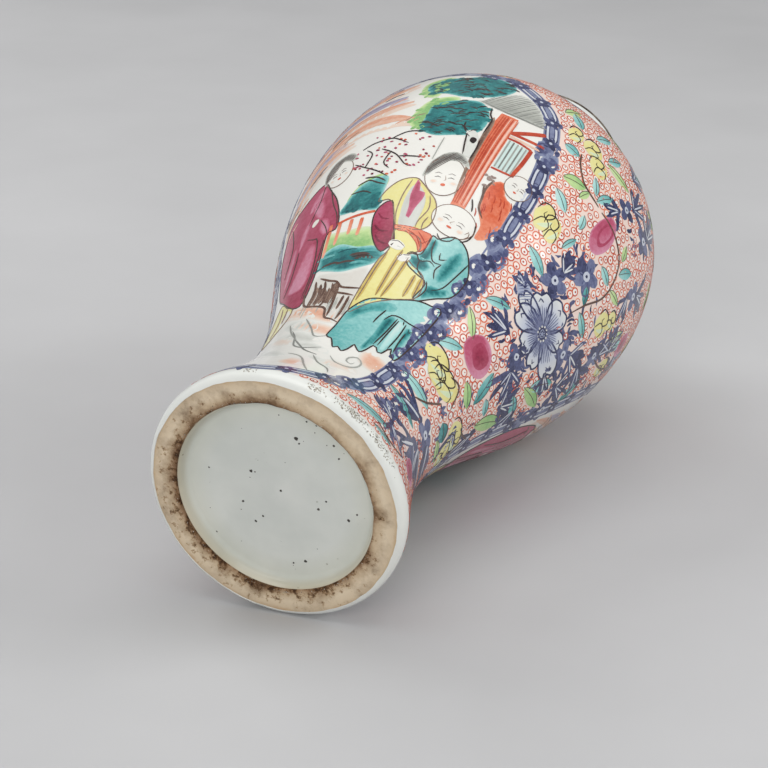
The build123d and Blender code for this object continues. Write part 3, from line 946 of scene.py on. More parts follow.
    shades = (
        ([(2, 55), (5, 59.5), (12, 63), (22, 65.5), (24, 63), (14, 59), (7, 54), (2, 47)],
            (0.98, 0.84, 0), 2.4, 0.54),
        ([(21.5, 60), (24, 61), (28, 60.5), (27, 54), (25.5, 46.5), (22.5, 41), (20, 42),
            (21.5, 50)], 0.98, 1.2, 0.44),
        ([(34, 60.5), (38, 60), (39, 52), (38, 47), (35.6, 49), (34.6, 54)], 0.92, 1.2, 0.4),
        ([(28.5, 60), (32.5, 60.6), (33, 54), (31.6, 46), (29.6, 46), (28.8, 52)], 0.16, 1.0, 0.4),
    )
    for shade, tone, soft, under in shades:
        fill(child, shade, "detail", tone, soft, under=under)
    folds("lineBlack", [[(22, 58), (24, 61), (28, 62), (34, 62), (41, 63)],
        [(20, 62), (18.5, 58), (18, 55)], [(27.6, 61), (26.8, 54), (25.4, 46.5)],
        [(28.8, 60.6), (28, 54), (27.6, 47)], [(33, 61), (33.6, 55), (33, 48)],
        [(35.4, 60), (36.8, 59), (38.4, 60.4)], [(35.6, 58), (35.8, 53), (36.8, 48)],
        [(31, 61.6), (32, 60)]], 0.42, 0.88)
    head(23, 103.2, 7.0, 5.9, -8, None, -1)
    stroke("brown", [(29.3, 101), (30.2, 102.4), (31, 100.8), (30, 99.4)], 0.26, "top", 0.8)
    stroke("lineBlack", [(30.6, 106), (32, 103), (31.6, 99.6), (29.6, 97.6)], 0.44, tone=0.9)
    # child behind the pillar in orange
    fill("ironRed", [(26, 120), (27, 124.4), (30, 126), (32.4, 122), (34, 121), (36.6, 120),
        (38, 113), (38.4, 108), (36, 103), (33, 102), (32, 107), (28.4, 111), (26.6, 115)], "fill",
        (0.78, 0.5, -60), 0.6, under=0.4)
    for k in range(14):
        a, s = dice.uniform(27.5, 37), dice.uniform(105, 122)
        stroke("ironRed", [(a - 0.9, s + 1.2), (a, s), (a + 0.5, s - 1.8)], 0.4, "over", 0.95)
    folds("brown", [[(24.6, 121), (26.4, 117), (27.6, 112.5), (31, 109.5)],
        [(26.4, 124), (25.8, 120), (27, 114)]], 0.7, 0.95)
    dabs("lineBlack", [(23, 126), (26.5, 127), (27.4, 122), (25.4, 119.4), (23.4, 121)], 9, 0.75,
        (0.7, 1.0), "line", 0, 0.5)
    head(34.5, 127.4, 4.4, 5.0, -4, None)
    stroke("lineBlack", [(24, 114), (25.6, 111.5), (26.4, 109.6)], 0.5, tone=0.9)


def flora():
    # flowers, fruits and leaves on the ringed ground, in the order they are painted
    bloom(80.5, 103.5, 10.5, ((158, 1.02, 0.84), (105, 1.0, 0.86), (48, 0.86, 0.6), (8, 1.32, 0.84),
        (-40, 0.9, 0.62), (-95, 0.82, 0.72), (-150, 1.12, 0.76), (-172, 1.3, 0.55)))
    for a, s, size, turn in ((66, 115.5, 7.6, 20), (94, 112.5, 6.4, 60), (83, 91, 6.2, 10),
            (72.5, 129, 8.2, 40), (52, 26, 4.5, 0), (84, 41, 7, 30), (66, 163, 6, 10),
            (92, 155, 6.5, 50), (79, 168, 7, 15), (103, 131, 6, 30), (118, 110, 6.5, 0),
            (117, 88, 6, 40)):
        lobes(a, s, size, 5 if size > 7 else 4, 0.82, turn)
    for a, s, turn, length, count, spread in ((66, 120, 95, 9, 5, 20), (96, 116, 40, 10, 5, 22),
            (88, 88, -35, 11, 5, 24), (70, 90, 205, 10, 5, 20), (60, 104, 180, 5, 3, 26),
            (99, 104, 5, 8, 3, 24), (78, 30, 250, 17, 5, 15), (84, 34, 285, 18, 5, 14),
            (90, 42, 340, 14, 4, 16), (73, 40, 200, 13, 4, 16), (57, 22, 130, 8, 3, 25),
            (58, 20, -60, 9, 3, 25), (64, 158, 250, 8, 4, 30), (68, 168, 70, 10, 5, 26),
            (80, 172, 100, 11, 5, 26), (93, 158, 60, 10, 4, 30), (90, 150, -50, 9, 3, 25),
            (104, 134, 110, 8, 4, 30), (104, 122, 20, 10, 4, 26), (110, 92, -40, 10, 4, 26),
            (62, 180, 80, 9, 4, 24), (100, 60, -20, 10, 3, 30), (112, 72, -60, 12, 4, 20),
            (108, 112, 60, 10, 5, 26), (106, 141, 150, 10, 5, 26), (112, 150, 20, 9, 4, 26),
            (104, 84, 80, 9, 5, 26)):
        frond(a, s, turn, length, count, spread)
    for a, s, reach, count in ((80, 104, 19, 60), (84, 36, 20, 44), (98, 120, 15, 34),
            (72, 124, 12, 20), (60, 24, 9, 12), (76, 170, 12, 22), (102, 98, 15, 42),
            (108, 138, 13, 36), (100, 60, 12, 22)):
        for k in range(count):
            far, way = reach * math.sqrt(dice.uniform(0.3, 1)), dice.uniform(0, 360)
            at = placed(a, s, way, [(far, 0)])[0]
            size = dice.uniform(1.2, 2.6)
            touch = placed(*at, way + dice.uniform(-50, 50), [(-size, 0), (0, 0.25 * size),
                (size, -0.1 * size)])
            stroke("cobalt", touch, dice.uniform(0.7, 1.3), "fill", dice.uniform(0.75, 1.0),
                ends=(0.4, 0.1))
            leaveOut(blob(*at, size * 0.8, 1.0, way, 0.02, 7))
    hatched = placed(61, 103, 160, [(-5, 0), (-1.5, 3), (4.6, 0.4), (-1.5, -3)])
    fill("cobalt", hatched, "over", 0.42)
    hatch("cobalt", smoothed(hatched, True), 60, 0.8, 0.26, (0.6, 0.8), "line")
    leaveOut(hatched)
    # stems before the fruits that hang on them
    for points in ([(60, 149), (68, 150), (76, 148), (81, 142), (83, 134), (81, 125), (80, 117)],
            [(43, 160), (45, 155), (50, 150), (58, 149)], [(105, 132), (111, 138), (116, 148),
            (120, 158)], [(78, 54), (70, 47), (62, 43)], [(70, 62), (78, 64), (85, 58)],
            [(102, 64), (108, 66), (114, 70)], [(50, 12), (60, 10), (70, 13)]):
        stroke("brown", points, 0.66, "detail", 1.0, ends=(0.5, 0.3))
        leaveOut(points + [(a + 1, s - 1) for a, s in points[::-1]])
    roseFruit(71.5, 76, 12.6, 11.4)
    roseFruit(66, 144.5, 8.6, 17.5)
    roseFruit(109, 153, 8, 9)
    roseFruit(82, 18, 7, 9)
    for a, s, wide, high, turn in ((59, 60, 12, 9, -10), (71, 58.5, 12, 9, 20), (64, 57, 9, 7, 0),
            (92, 133, 7.5, 9, 20), (93.5, 139, 6, 6.5, 10), (47.5, 126, 7.5, 11, 0),
            (52, 125, 6.5, 10, 20), (45, 167, 7.6, 8, 0), (50, 162, 8, 8, 30),
            (38, 166.5, 6, 8.5, 0), (106, 61, 14, 8, 15), (113, 56, 9, 7, 10), (112, 140, 7, 8, 0)):
        fruit(a, s, wide, high, turn, 0.7)
    leaves = {
        "turquoise": ((56, 113, 10, 3.8, -14, 0.6), (58, 92, 9.5, 3.4, 38, 0.62),
            (56, 68, 10, 3.8, 42, 0.55), (88, 75, 12, 4.4, -62, 0.72), (87, 122, 9, 3.2, 4, 0.6),
            (40, 158, 6, 4.6, 0, 0.6), (36, 175, 8, 4, -50, 0.6), (46, 178, 9, 3.6, 60, 0.6),
            (53, 173, 8, 3.4, 60, 0.62), (53, 154, 7, 3, -55, 0.5), (58, 154, 9, 3.4, 68, 0.6),
            (82, 150, 9, 3.8, 68, 0.62), (77, 138, 7, 3.6, 5, 0.55),
            (47.5, 136.5, 8.5, 4, -32, 0.45), (57.5, 138, 6, 3, -70, 0.5),
            (59.5, 128, 7.5, 2.4, 80, 0.6), (103, 103, 12, 5, 80, 0.6), (78, 126, 6, 3, -40, 0.8),
            (108, 91, 10, 3.6, 15, 0.7), (95, 53, 6.5, 6, 0, 0.9), (60, 46, 14, 4, 4, 0.5),
            (59, 35, 14, 3.2, -12, 0.68), (45, 13, 16, 4.2, 16, 0.6), (106, 146, 12, 4, 75, 0.45),
            (114, 122, 10, 4.4, -50, 0.68), (55, 8, 8, 2.4, 0, 0.6), (99, 76, 6, 3, 0, 0.6),
            (65, 186, 9, 3.4, 40, 0.6), (92, 184, 9, 3.4, -40, 0.6)),
        "green": ((107, 99.5, 14, 4.4, 42, 0.72), (110, 79, 14, 6, 75, 0.72),
            (56.5, 79.5, 10, 3, -38, 0.55), (85, 67, 8.5, 4, -12, 0.68), (47, 147, 9, 5, 28, 0.68),
            (52, 146.5, 6, 2.6, 75, 0.6), (57, 169, 12, 3.6, 10, 0.55), (76, 152, 6, 3, -60, 0.6),
            (86, 141, 8, 3, 30, 0.55), (33, 178, 8, 4, 60, 0.62), (102, 145, 10, 3.6, 80, 0.5),
            (104, 50, 9, 3, 10, 0.6), (78, 183, 9, 3.4, 20, 0.6), (100, 172, 9, 3.6, -30, 0.6),
            (115, 165, 9, 3.6, -60, 0.6)),
    }
    for paint, places in leaves.items():
        for place in places:
            leaf(paint, *place)


def collarBand():
    # sprays and fruits that go round the shoulder above the panels
    for k in range(8):
        a = k * 45 + 12
        leaf("turquoise", a + 6, 192, 8, 3.4, 30, 0.6)
        leaf("green", a - 7, 189, 8, 3.6, -30, 0.62)
        leaf("turquoise", a + 15, 200, 7, 3, -40, 0.55)
        lobes(a + 24, 194, 6, 5, 0.8, 20)
        frond(a + 24, 196, 90, 8, 5, 28)
        frond(a + 22, 191, 200, 7, 3, 24)
        if k % 2:
            fruit(a, 196, 8, 7, 10, 0.7)
        else:
            roseFruit(a, 195, 7, 8)


# mm: the rings' pitch along and across a row, their radius, dot and how far they stray
ringSettings = {"pitch": 3.05, "rowPitch": 2.68, "radius": 1.4, "dot": (0.24, 0.4), "stray": 0.3,
    "start": 6.6, "end": 206}


def polygon(a, s, scale, count, wide, high, layer):
    turns = [2 * math.pi * k / count for k in range(count)]
    return [(a + math.cos(u) * wide / scale, s + math.sin(u) * high, layers[layer]) for u in turns]


def ringGround(region):
    # rings of iron red packed over the ground, left out under what is painted on it
    stray = ringSettings["stray"]
    rings = []
    row = 0
    s = ringSettings["start"]
    while s < ringSettings["end"]:
        scale = mmPerDegree(s)
        count = int(360 * scale / ringSettings["pitch"])
        for k in range(count):
            a = (k + 0.5 * (row % 2)) * 360 / count + dice.uniform(-stray, stray) / scale
            rings.append((a - 360 if a > 240 else a, s + dice.uniform(-stray, stray)))
        row += 1
        s += ringSettings["rowPitch"]
    allowed = np.zeros(len(rings), bool)
    for shift in (-360, 0, 360):
        allowed |= inside([(a + shift, s) for a, s in rings], region)
    spots = np.array(rings)
    for outline in keepOut:
        low, high = np.min(outline, axis=0), np.max(outline, axis=0)
        for shift in (-360, 0, 360):
            a = spots[:, 0] + shift
            near = (a > low[0]) & (a < high[0]) & (spots[:, 1] > low[1]) & (
                spots[:, 1] < high[1]) & allowed
            if near.any():
                at = np.where(near)[0]
                allowed[at[inside([(a[i], spots[i, 1]) for i in at], outline)]] = False
    bm = bmesh.new()
    bmesh.ops.create_circle(bm, cap_ends=True, segments=10, radius=1.0)
    bmesh.ops.inset_region(bm, faces=bm.faces[:], thickness=0.27, use_boundary=True,
        use_even_offset=True)
    bmesh.ops.delete(bm, geom=[f for f in bm.faces if len(f.verts) > 4], context="FACES_ONLY")
    bm.verts.index_update()
    shape = [v.co.xy for v in bm.verts], [[v.index for v in f.verts] for f in bm.faces]
    bm.free()
    for a, s in spots[allowed]:
        scale, size = mmPerDegree(s), ringSettings["radius"] * dice.uniform(0.86, 1.1)
        turn, squash = dice.uniform(0, 6.28), dice.uniform(0.88, 1.08)
        c, d = math.cos(turn), math.sin(turn)
        ring = [
            (a + (v.x * c - v.y * d) * size / scale, s + (v.x * d + v.y * c) * size * squash,
                layers["fill"])
            for v in shape[0]
        ]
        tone = dice.uniform(0.5, 0.9)
        keep("ringLines", ring, [min(1.0, tone + dice.uniform(-0.12, 0.12)) for v in ring],
            shape[1])
        disc = polygon(a, s, scale, 10, size * 0.86, size * 0.86 * squash, "disc")
        keep("ringDiscs", disc, [dice.uniform(0.2, 1.0)] * 10, [list(range(10))])
        da, ds = dice.uniform(-stray, stray) / scale, dice.uniform(-stray, stray)
        dot = dice.uniform(*ringSettings["dot"])
        keep("ringLines", polygon(a + da, s + ds, scale, 6, dot, dot, "fill"), [0.95] * 6,
            [list(range(6))])
    return int(allowed.sum())


print("painting the main panel")
borderChain()
panel("yellow", "turquoise", "rose")
mainOutline = smoothed(borderPath, True, 2.0)

# the other side carries the same garden in other colours, a little narrower
lay.update({"centre": 170.0, "from": -12.0, "side": 1, "stretch": 0.9})
borderChain()
panel("turquoise", "green", "rose")
otherOutline = [laid(a, s) for a, s in mainOutline]
print("painting the flowers between the panels")
lay.update({"centre": 82.0, "from": 82.0, "side": 1, "stretch": 1.0})
flora()
lay.update({"centre": -104.5, "from": 82.0, "side": -1, "stretch": 0.96})
flora()
lay.update({"centre": 0.0, "from": 0.0, "side": 1, "stretch": 1.0})
collarBand()


def widened(outline, by):
    # move an outline away from its middle, in degrees round and mm up
    middle = np.mean(outline, axis=0)
    moved = []
    for a, s in outline:
        da, ds = a - middle[0], s - middle[1]
        wider, taller = by * min(1, abs(da) / 20), by * 0.9 * min(1, abs(ds) / 40)
        moved.append((a + math.copysign(wider, da), s + math.copysign(taller, ds)))
    return moved


keepOut += [widened(mainOutline, 3.0), widened(otherOutline, 3.0)]
whole = [(-181, 5.2), (541, 5.2), (541, 205), (-181, 205)]
print("rings:", ringGround(whole))

# a faint wash under the rings, laid in tiles all round the vase
for low, high in ((5.0, 60.0), (60.0, 120.0), (120.0, 165.0), (165.0, 206.0)):
    for side in range(12):
        left, right = side * 30 - 180, side * 30 - 150
        tile = [(left, low), (right, low), (right, high), (left, high)]
        fill("ironRed", tile, "ground", 0.03, sharp=True, cell=2.0)
# panels are white under their paint
for outline in (mainOutline, otherOutline):
    fill("skin", outline, "paper", 0.95, sharp=True, cell=2.0)


def finishPiece(mesh, name, material):
    piece = bpy.data.objects.new(name, mesh)
    bpy.context.scene.collection.objects.link(piece)
    mesh.materials.append(material)
    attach(piece, "root")
    return piece


# mm: how deep the paint's underside lies in the glaze, and where paint stops at foot and lip
paintSettings = {"depth": 0.12, "lowest": 0.2, "endGap": 1.2}


def buildPaint(name, source, material, slot, part=slice(None)):
    store = paints[source]
    mesh = bpy.data.meshes.new(name)
    faces = store["faces"][part]
    mesh.from_pydata(store["co"], [], faces)
    mesh.attributes.new("tone", "FLOAT", "POINT").data.foreach_set("value", store["tone"])
    bm = bmesh.new()
    bm.from_mesh(mesh)
    bmesh.ops.delete(bm, geom=[v for v in bm.verts if not v.link_faces], context="VERTS")
    bm.normal_update()
    bmesh.ops.solidify(bm, geom=bm.faces[:], thickness=1.0)
    bm.to_mesh(mesh)
    bm.free()
    flat = np.zeros(len(mesh.vertices) * 3, np.float32)
    mesh.vertices.foreach_get("co", flat)
    flat = flat.reshape(-1, 3).astype(float)
    flat[flat[:, 2] < 0, 2] = -paintSettings["depth"]
    flat[:, 1] = np.clip(flat[:, 1], paintSettings["lowest"], outerEnd - paintSettings["endGap"])
    place, normal = onVase(flat[:, 0], flat[:, 1], flat[:, 2])
    mesh.vertices.foreach_set("co", place.astype(np.float32).ravel())
    mesh.polygons.foreach_set("use_smooth", [True] * len(mesh.polygons))
    mesh.update()
    mesh.normals_split_custom_set_from_vertices(normal.tolist())
    return finishPiece(mesh, name, material)


slots = {"cobalt": "cobalt_blue", "ironRed": "iron_red", "rose": "rose_enamel",
    "green": "green_enamel", "turquoise": "turquoise_enamel", "yellow": "yellow_enamel",
    "lineBlack": "line_black", "salmon": "wash", "lilac": "wash", "brown": "wash", "grey": "wash",
    "skin": "white_enamel"}
paintMaterials = {}
for paint, (stops, finish, amount) in paintStyles.items():
    paintMaterials[paint] = paintMaterial(paint + "Paint", stops, finish, amount)
    buildPaint(paint + "Layer", paint, paintMaterials[paint], slots[paint])
    print("painted", paint, len(paints[paint]["faces"]), "faces")
discMaterial = paintMaterial("ringCentreWhite", [(0.0, (238, 222, 212)), (0.5, (234, 228, 221)),
    (1.0, (230, 229, 224))], thinFinish, 0.3)
faceCount = len(paints["ringLines"]["faces"])
for k in range(3):
    buildPaint("ringLines" + str(k + 1), "ringLines", paintMaterials["ironRed"], "iron_red",
        slice(k * faceCount // 3, (k + 1) * faceCount // 3))
buildPaint("ringCentres", "ringDiscs", discMaterial, "white_enamel")
print("rings built")


def spun(name, profile, steps, material, closed=True, bend=None):
    # a closed ring of revolution from (height, radius) points in mm
    bm = bmesh.new()
    verts = [bm.verts.new(atHeight(t, r)) for t, r in profile]
    pairs = list(zip(verts, verts[1:])) + ([(verts[-1], verts[0])] if closed else [])
    edges = [bm.edges.new(pair) for pair in pairs]
    bmesh.ops.spin(bm, geom=verts + edges, cent=footCentre, axis=axisDir, dvec=(0, 0, 0),
        angle=2 * math.pi, steps=steps, use_merge=True)
    bmesh.ops.remove_doubles(bm, verts=bm.verts[:], dist=2e-6)
    bmesh.ops.recalc_face_normals(bm, faces=bm.faces[:])
    if bend:
        for vert in bm.verts:
            arm = vert.co - footCentre
            t = arm.dot(axisDir) * 1000
            out = arm - axisDir * (t / 1000)
            dt, dr = bend(t, out.length * 1000, vert.co)
            vert.co += axisDir * (dt / 1000) + out.normalized() * (dr / 1000)
    mesh = bpy.data.meshes.new(name)
    bm.to_mesh(mesh)
    bm.free()
    mesh.shade_smooth()
    mesh.set_sharp_from_angle(angle=math.radians(40))
    return finishPiece(mesh, name, material)


def glazeMaterial(name, base, shade, finish):
    # white glaze whose colour drifts slowly
    material, tree, shader = newMaterial(name, finish, 0.16)
    colour = addRamp(tree, addNoise(tree, objectPlace(tree), 24.0, 3.0),
        [(0.3, shade), (0.68, base)])
    tree.links.new(colour, shader.inputs["Base Color"])
    return material


skinSettings = {"steps": 300, "depth": 0.4, "spacing": 1.5}
whiteGlaze = glazeMaterial("whiteGlaze", (226, 227, 221), (218, 221, 218), glazeFinish)
ss = np.concatenate([np.arange(0, 6, 0.4), np.arange(6, outerEnd - 1.0, skinSettings["spacing"]),
    [outerEnd - 0.95]])
t, r, dt, dr = readLine(outerLine, ss)
outside = list(zip(t, r))
back = list(zip(t + dr * skinSettings["depth"], r - dt * skinSettings["depth"]))[::-1]


def glazeEdge(t, r, co):
    # the glaze ends on the foot in a slightly wavy line
    near = max(0.0, 1 - t / 0.9)
    wave = noise.noise(co * 160) * 0.6 + noise.noise(co * 420) * 0.3
    return -0.05 * near, (wave - 0.35) * 0.5 * near


glazeSkin = spun("glazeSkin", outside + back[::3], skinSettings["steps"], whiteGlaze,
    bend=glazeEdge)
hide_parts(*sections)
print("glaze skin spun")

liningSettings = {"coat": 0.28, "spacing": 2.5, "steps": 160}
coat = liningSettings["coat"]
lipRadius, innerTop = float(innerLine["r"][-1]), float(innerLine["t"][-1])
st, sr = readLine(innerLine, np.arange(innerLine["s"][0], innerLine["s"][-1],
    liningSettings["spacing"]))[:2]
facing = [(float(st[0]), 0.0)] + [(float(a), float(b)) for a,
    b in zip(st[1:], sr[1:])] + [(innerTop, lipRadius)]
behind = [(float(a), float(b) + coat) for a, b in zip(st[4:], sr[4:])] + [
    (innerTop, lipRadius + coat)]
liningGlaze = glazeMaterial("innerWhiteGlaze", (216, 218, 212), (206, 209, 204), glazeFinish)
liningProfile = facing + behind[::-1] + [(float(st[0]) - coat, 0.0)]
lining = spun("innerGlaze", liningProfile, liningSettings["steps"], liningGlaze,
    closed=False)
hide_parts("inner_glaze")

# foot: bare ring, glazed recess and grit
footSettings = {"ringIn": 29.2, "recessFloor": 3.9, "recessRadius": 28.3}


def biscuitMaterial():
    material, tree, shader = newMaterial("biscuitClay",
        {"Roughness": 0.82, "Specular IOR Level": 0.25}, 0)
    place = objectPlace(tree)
    patches, grain = addNoise(tree, place, 95.0, 6.0, 0.65), addNoise(tree, place, 1500.0, 3.0)
    # a wandering share of the way from the inner edge out
    zone = stretched(tree, addMath(tree, "MULTIPLY_ADD", patches, 0.006, fromFoot(tree, place)),
        0.0315, 0.0395)
    colour = addRamp(tree, zone, [(0.0, (120, 96, 74)), (0.12, (148, 120, 94)),
        (0.3, (196, 176, 150)), (0.6, (221, 206, 184)), (0.86, (213, 196, 172)),
        (1.0, (192, 166, 136))])
    mottle = addRamp(tree, patches, [(0.3, (138, 124, 108)), (0.42, (216, 208, 198)),
        (0.54, (246, 242, 234)), (0.7, (255, 252, 246))])
    # dirt caught in the pores, thicker towards the inner edge, with painted shade that darkens the
    # ring towards the bottom and -X
    inner = addMath(tree, "MULTIPLY_ADD", zone, 0.16, addNoise(tree, place, 520.0, 5.0, 0.7))
    paintedShadeSlope = addNode(tree, "ShaderNodeVectorMath", {0: place}, operation="DOT_PRODUCT")
    paintedShadeSlope.inputs[1].default_value = (1.1, 0, 1.3)  # painted shade: lighter at the top and at +X, darker towards the bottom and -X
    # this colour carries both the pore dirt and the painted shade
    poreDirtAndShade = addRamp(tree, addMath(tree, "ADD", inner, paintedShadeSlope.outputs["Value"]),
        [(0.42, (104, 82, 64)), (0.5, (206, 190, 172)), (0.56, white)])
    soiledAndShaded = multiplied(tree, 0.9, multiplied(tree, 0.85, colour, mottle), poreDirtAndShade)
    tree.links.new(soiledAndShaded, shader.inputs["Base Color"])
    bump = addNode(tree, "ShaderNodeBump", {"Height": grain}, Strength=0.5, Distance=0.0002)
    tree.links.new(bump.outputs[0], shader.inputs["Normal"])
    return material


def ringWear(t, r, co):
    if t > 0.6:
        return 0.0, 0.0
    rough = noise.noise(co * 260) * 0.07 + noise.noise(co * 900) * 0.035
    edge = max(0.0, 1 - (r - footSettings["ringIn"]) / 0.8)
    return abs(rough) + edge * max(0.0, noise.noise(co * 330)
        + 0.1) * 0.5, edge * noise.noise(co * 240) * 0.35


ringFace = [(0.12, 29.3)] + [(0.02, r) for r in np.arange(29.6, 36.0, 0.45)] + [(0.1, 36.12),
    (0.6, 36.3), (1.4, 36.3), (1.4, 29.0), (0.7, 29.05), (0.3, 29.15)]
spun("footRing", ringFace, 300, biscuitMaterial(), bend=ringWear)


def baseMaterial():
    material, tree, shader = newMaterial("baseGlaze",
        {"Roughness": 0.16, "IOR": 1.5, "Coat Weight": 0.3, "Coat Roughness": 0.08}, 0)
    place = objectPlace(tree)
    radius = fromFoot(tree, place)
    drift = addNoise(tree, place, 45.0, 4.0)
    wheel = addMath(tree, "SINE", addMath(tree, "MULTIPLY_ADD", radius, 1500.0, drift))
    colour = addRamp(tree, stretched(tree, radius, 0.0, 0.0295),
        [(0.0, (214, 215, 210)), (0.7, (211, 213, 207)), (0.93, (207, 208, 197)),
        (0.98, (206, 198, 176)), (1.0, (176, 148, 118))])
    mottle = addRamp(tree, drift, [(0.35, (238, 240, 240)), (0.65, white)])
    cells = addNode(tree, "ShaderNodeTexVoronoi", {"Vector": place}, Scale=310.0)
    specks = addRamp(tree, cells.outputs["Distance"], [(0.0, (110, 104, 96)),
        (0.07, (210, 208, 202)), (0.13, white)])
    few = addRamp(tree, addNoise(tree, place, 140.0), [(0.58, black), (0.62, white)])
    speckled = multiplied(tree, few, multiplied(tree, 1.0, colour, mottle), specks)
    tree.links.new(speckled, shader.inputs["Base Color"])
    turned = addNode(tree, "ShaderNodeBump", {"Height": wheel}, Strength=0.35, Distance=0.00005)
    slow = addNode(tree, "ShaderNodeBump", {"Height": drift, "Normal": turned.outputs[0]},
        Strength=0.3, Distance=0.0008)
    tree.links.new(slow.outputs[0], shader.inputs["Normal"])
    return material


floorHeight, wallRadius = footSettings["recessFloor"], footSettings["recessRadius"]


def baseHeight(r):
    # the recess floor is faintly domed
    return floorHeight - 0.2 * (1 - (r / 27) ** 2)


baseProfile = [(baseHeight(r), r) for r in np.arange(0, 26.6, 1.3)]
for k in range(1, 7):
    bend = math.radians(k * 12)
    baseProfile.append((floorHeight - 3.0 * (1 - math.cos(bend)), wallRadius - 2.4
        + 2.6 * math.sin(bend)))
baseProfile += [(1.3, wallRadius + 0.42), (0.62, wallRadius + 0.85), (0.9, 29.7), (4.6, 29.6),
    (5.2, 27.0), (5.2, 0.0)]
baseGlaze = spun("baseGlaze", baseProfile, 200, baseMaterial(), closed=False)
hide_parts("base_glaze")

# dark pits in the base, from large to small
pitMaterial = paintMaterial("pitBlack", [(0.0, (90, 82, 74)), (1.0, (34, 32, 30))],
    {"Roughness": 0.5}, 0.6)
pitSettings = {"big": ((20, 19, 0.6), (24, 18, 0.3), (-55, 9.5, 0.48), (-51, 8.5, 0.24),
    (-113, 12, 0.4), (-144, 13, 0.4), (-148, 10, 0.35), (46, 1, 0.35), (106, 12, 0.4),
    (92, 14, 0.28), (105, 21, 0.45), (98, 23, 0.3), (45, 24.5, 0.35), (54, 23, 0.3),
    (163, 22, 0.45), (173, 22.5, 0.3), (-129, 26, 0.3), (23, 25.5, 0.3), (29, 26, 0.25),
    (-78, 21, 0.25)), "small": 18}


def tonePiece(bm, tones, name, material):
    mesh = bpy.data.meshes.new(name)
    bm.to_mesh(mesh)
    bm.free()
    mesh.attributes.new("tone", "FLOAT", "POINT").data.foreach_set("value", tones)
    return finishPiece(mesh, name, material)


def makePits():
    bm = bmesh.new()
    spots = list(pitSettings["big"])
    for k in range(pitSettings["small"]):
        spots.append((dice.uniform(0, 360), 26 * math.sqrt(dice.random()),
            dice.uniform(0.08, 0.18)))
    for a, r, size in spots:
        at = atHeight(baseHeight(r), r, a)
        made = bmesh.ops.create_icosphere(bm, subdivisions=2, radius=size / 1000)["verts"]
        for vert in made:
            rough = 1 + 0.5 * noise.noise(vert.co * 2600 + Vector((a, r, 0)))
            along = vert.co.dot(axisDir)
            vert.co = at + (vert.co - axisDir * along * 0.88) * rough
    tonePiece(bm, [dice.uniform(0.5, 1) for v in bm.verts], "basePits",
        pitMaterial).data.shade_smooth()


makePits()
gritMaterial = paintMaterial("gritGrey", [(0.0, (176, 170, 156)), (0.6, (140, 134, 122)),
    (0.9, (98, 92, 84)), (1.0, (60, 56, 52))], {"Roughness": 0.75}, 0.7)
gritSettings = {"patches": ((40, 9, 2.0, 4.6, 190), (58, 9, 1.8, 4.4, 110), (22, 5, 1.8, 4.0, 60),
    (-8, 3, 2.4, 4.2, 30)), "innerEdge": 260}


def makeGrit():
    # kiln sand stuck to the lip of the foot and along the ring's inner edge
    bm = bmesh.new()
    tones = []
    spots = []
    for a, spread, low, high, count in gritSettings["patches"]:
        for k in range(count):
            angle, s = dice.gauss(a, spread / 2), dice.uniform(low, high)
            place, normal = onVase(np.array([angle]), np.array([s]), np.array([0.02]))
            spots.append((Vector(place[0]), Vector(normal[0]), dice.uniform(0.07, 0.24)))
    for k in range(gritSettings["innerEdge"]):
        angle = dice.uniform(0, 360)
        spots.append((atHeight(0.1, 29.5 + abs(dice.gauss(0, 0.5)), angle), -axisDir,
            dice.uniform(0.05, 0.2)))
    for at, normal, size in spots:
        made = bmesh.ops.create_icosphere(bm, subdivisions=1, radius=size / 1000)["verts"]
        shift = Vector((dice.random() * 50, dice.random() * 50, 0))
        for vert in made:
            grown = vert.co * (1 + 0.6 * noise.noise(vert.co * 5000 + shift))
            vert.co = at + grown - normal * grown.dot(normal) * 0.45
        tones += [dice.random() ** 1.6] * len(made)
    tonePiece(bm, tones, "kilnGrit", gritMaterial)


makeGrit()
print("foot built")

# lip: a thin brown dressing, worn through in places
topHeight = float(outerPoints[-1][0])
rimRadius = float(outerPoints[-1][1])


def lipMaterial():
    material, tree, shader = newMaterial("ironDressing", {"Roughness": 0.3, "IOR": 1.5}, 0.1)
    worn = addNoise(tree, objectPlace(tree), 260.0, 5.0, 0.7)
    colour = addRamp(tree, worn, [(0.34, (66, 56, 48)), (0.52, (104, 92, 80)),
        (0.66, (160, 152, 140)), (0.76, (214, 212, 204))])
    tree.links.new(colour, shader.inputs["Base Color"])
    return material


lipSettings = {"height": 0.9, "arch": 0.86, "overhang": 0.05, "sunk": 1.1, "steps": 300}
lipCentre, lipHalf = (rimRadius + lipRadius) / 2, (rimRadius
    - lipRadius) / 2 + lipSettings["overhang"]
lipProfile = []
for k in range(13):
    bend = math.radians(k * 15)
    arch = lipSettings["arch"] * math.sin(bend) ** 0.8
    lipProfile.append((topHeight - lipSettings["height"] + arch,
        lipCentre + lipHalf * math.cos(bend)))
sunk = topHeight - lipSettings["sunk"]
lipProfile += [(sunk, lipRadius + 0.1), (sunk, rimRadius - 0.3)]
lip = spun("lipDressing", lipProfile, lipSettings["steps"], lipMaterial())
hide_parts("lip_dressing")
print("lip built")

stageSettings = {"floor": (192, 192, 193), "shade": (185, 185, 186), "size": 3.0, "curveFrom": 1.3,
    "curve": 0.5}


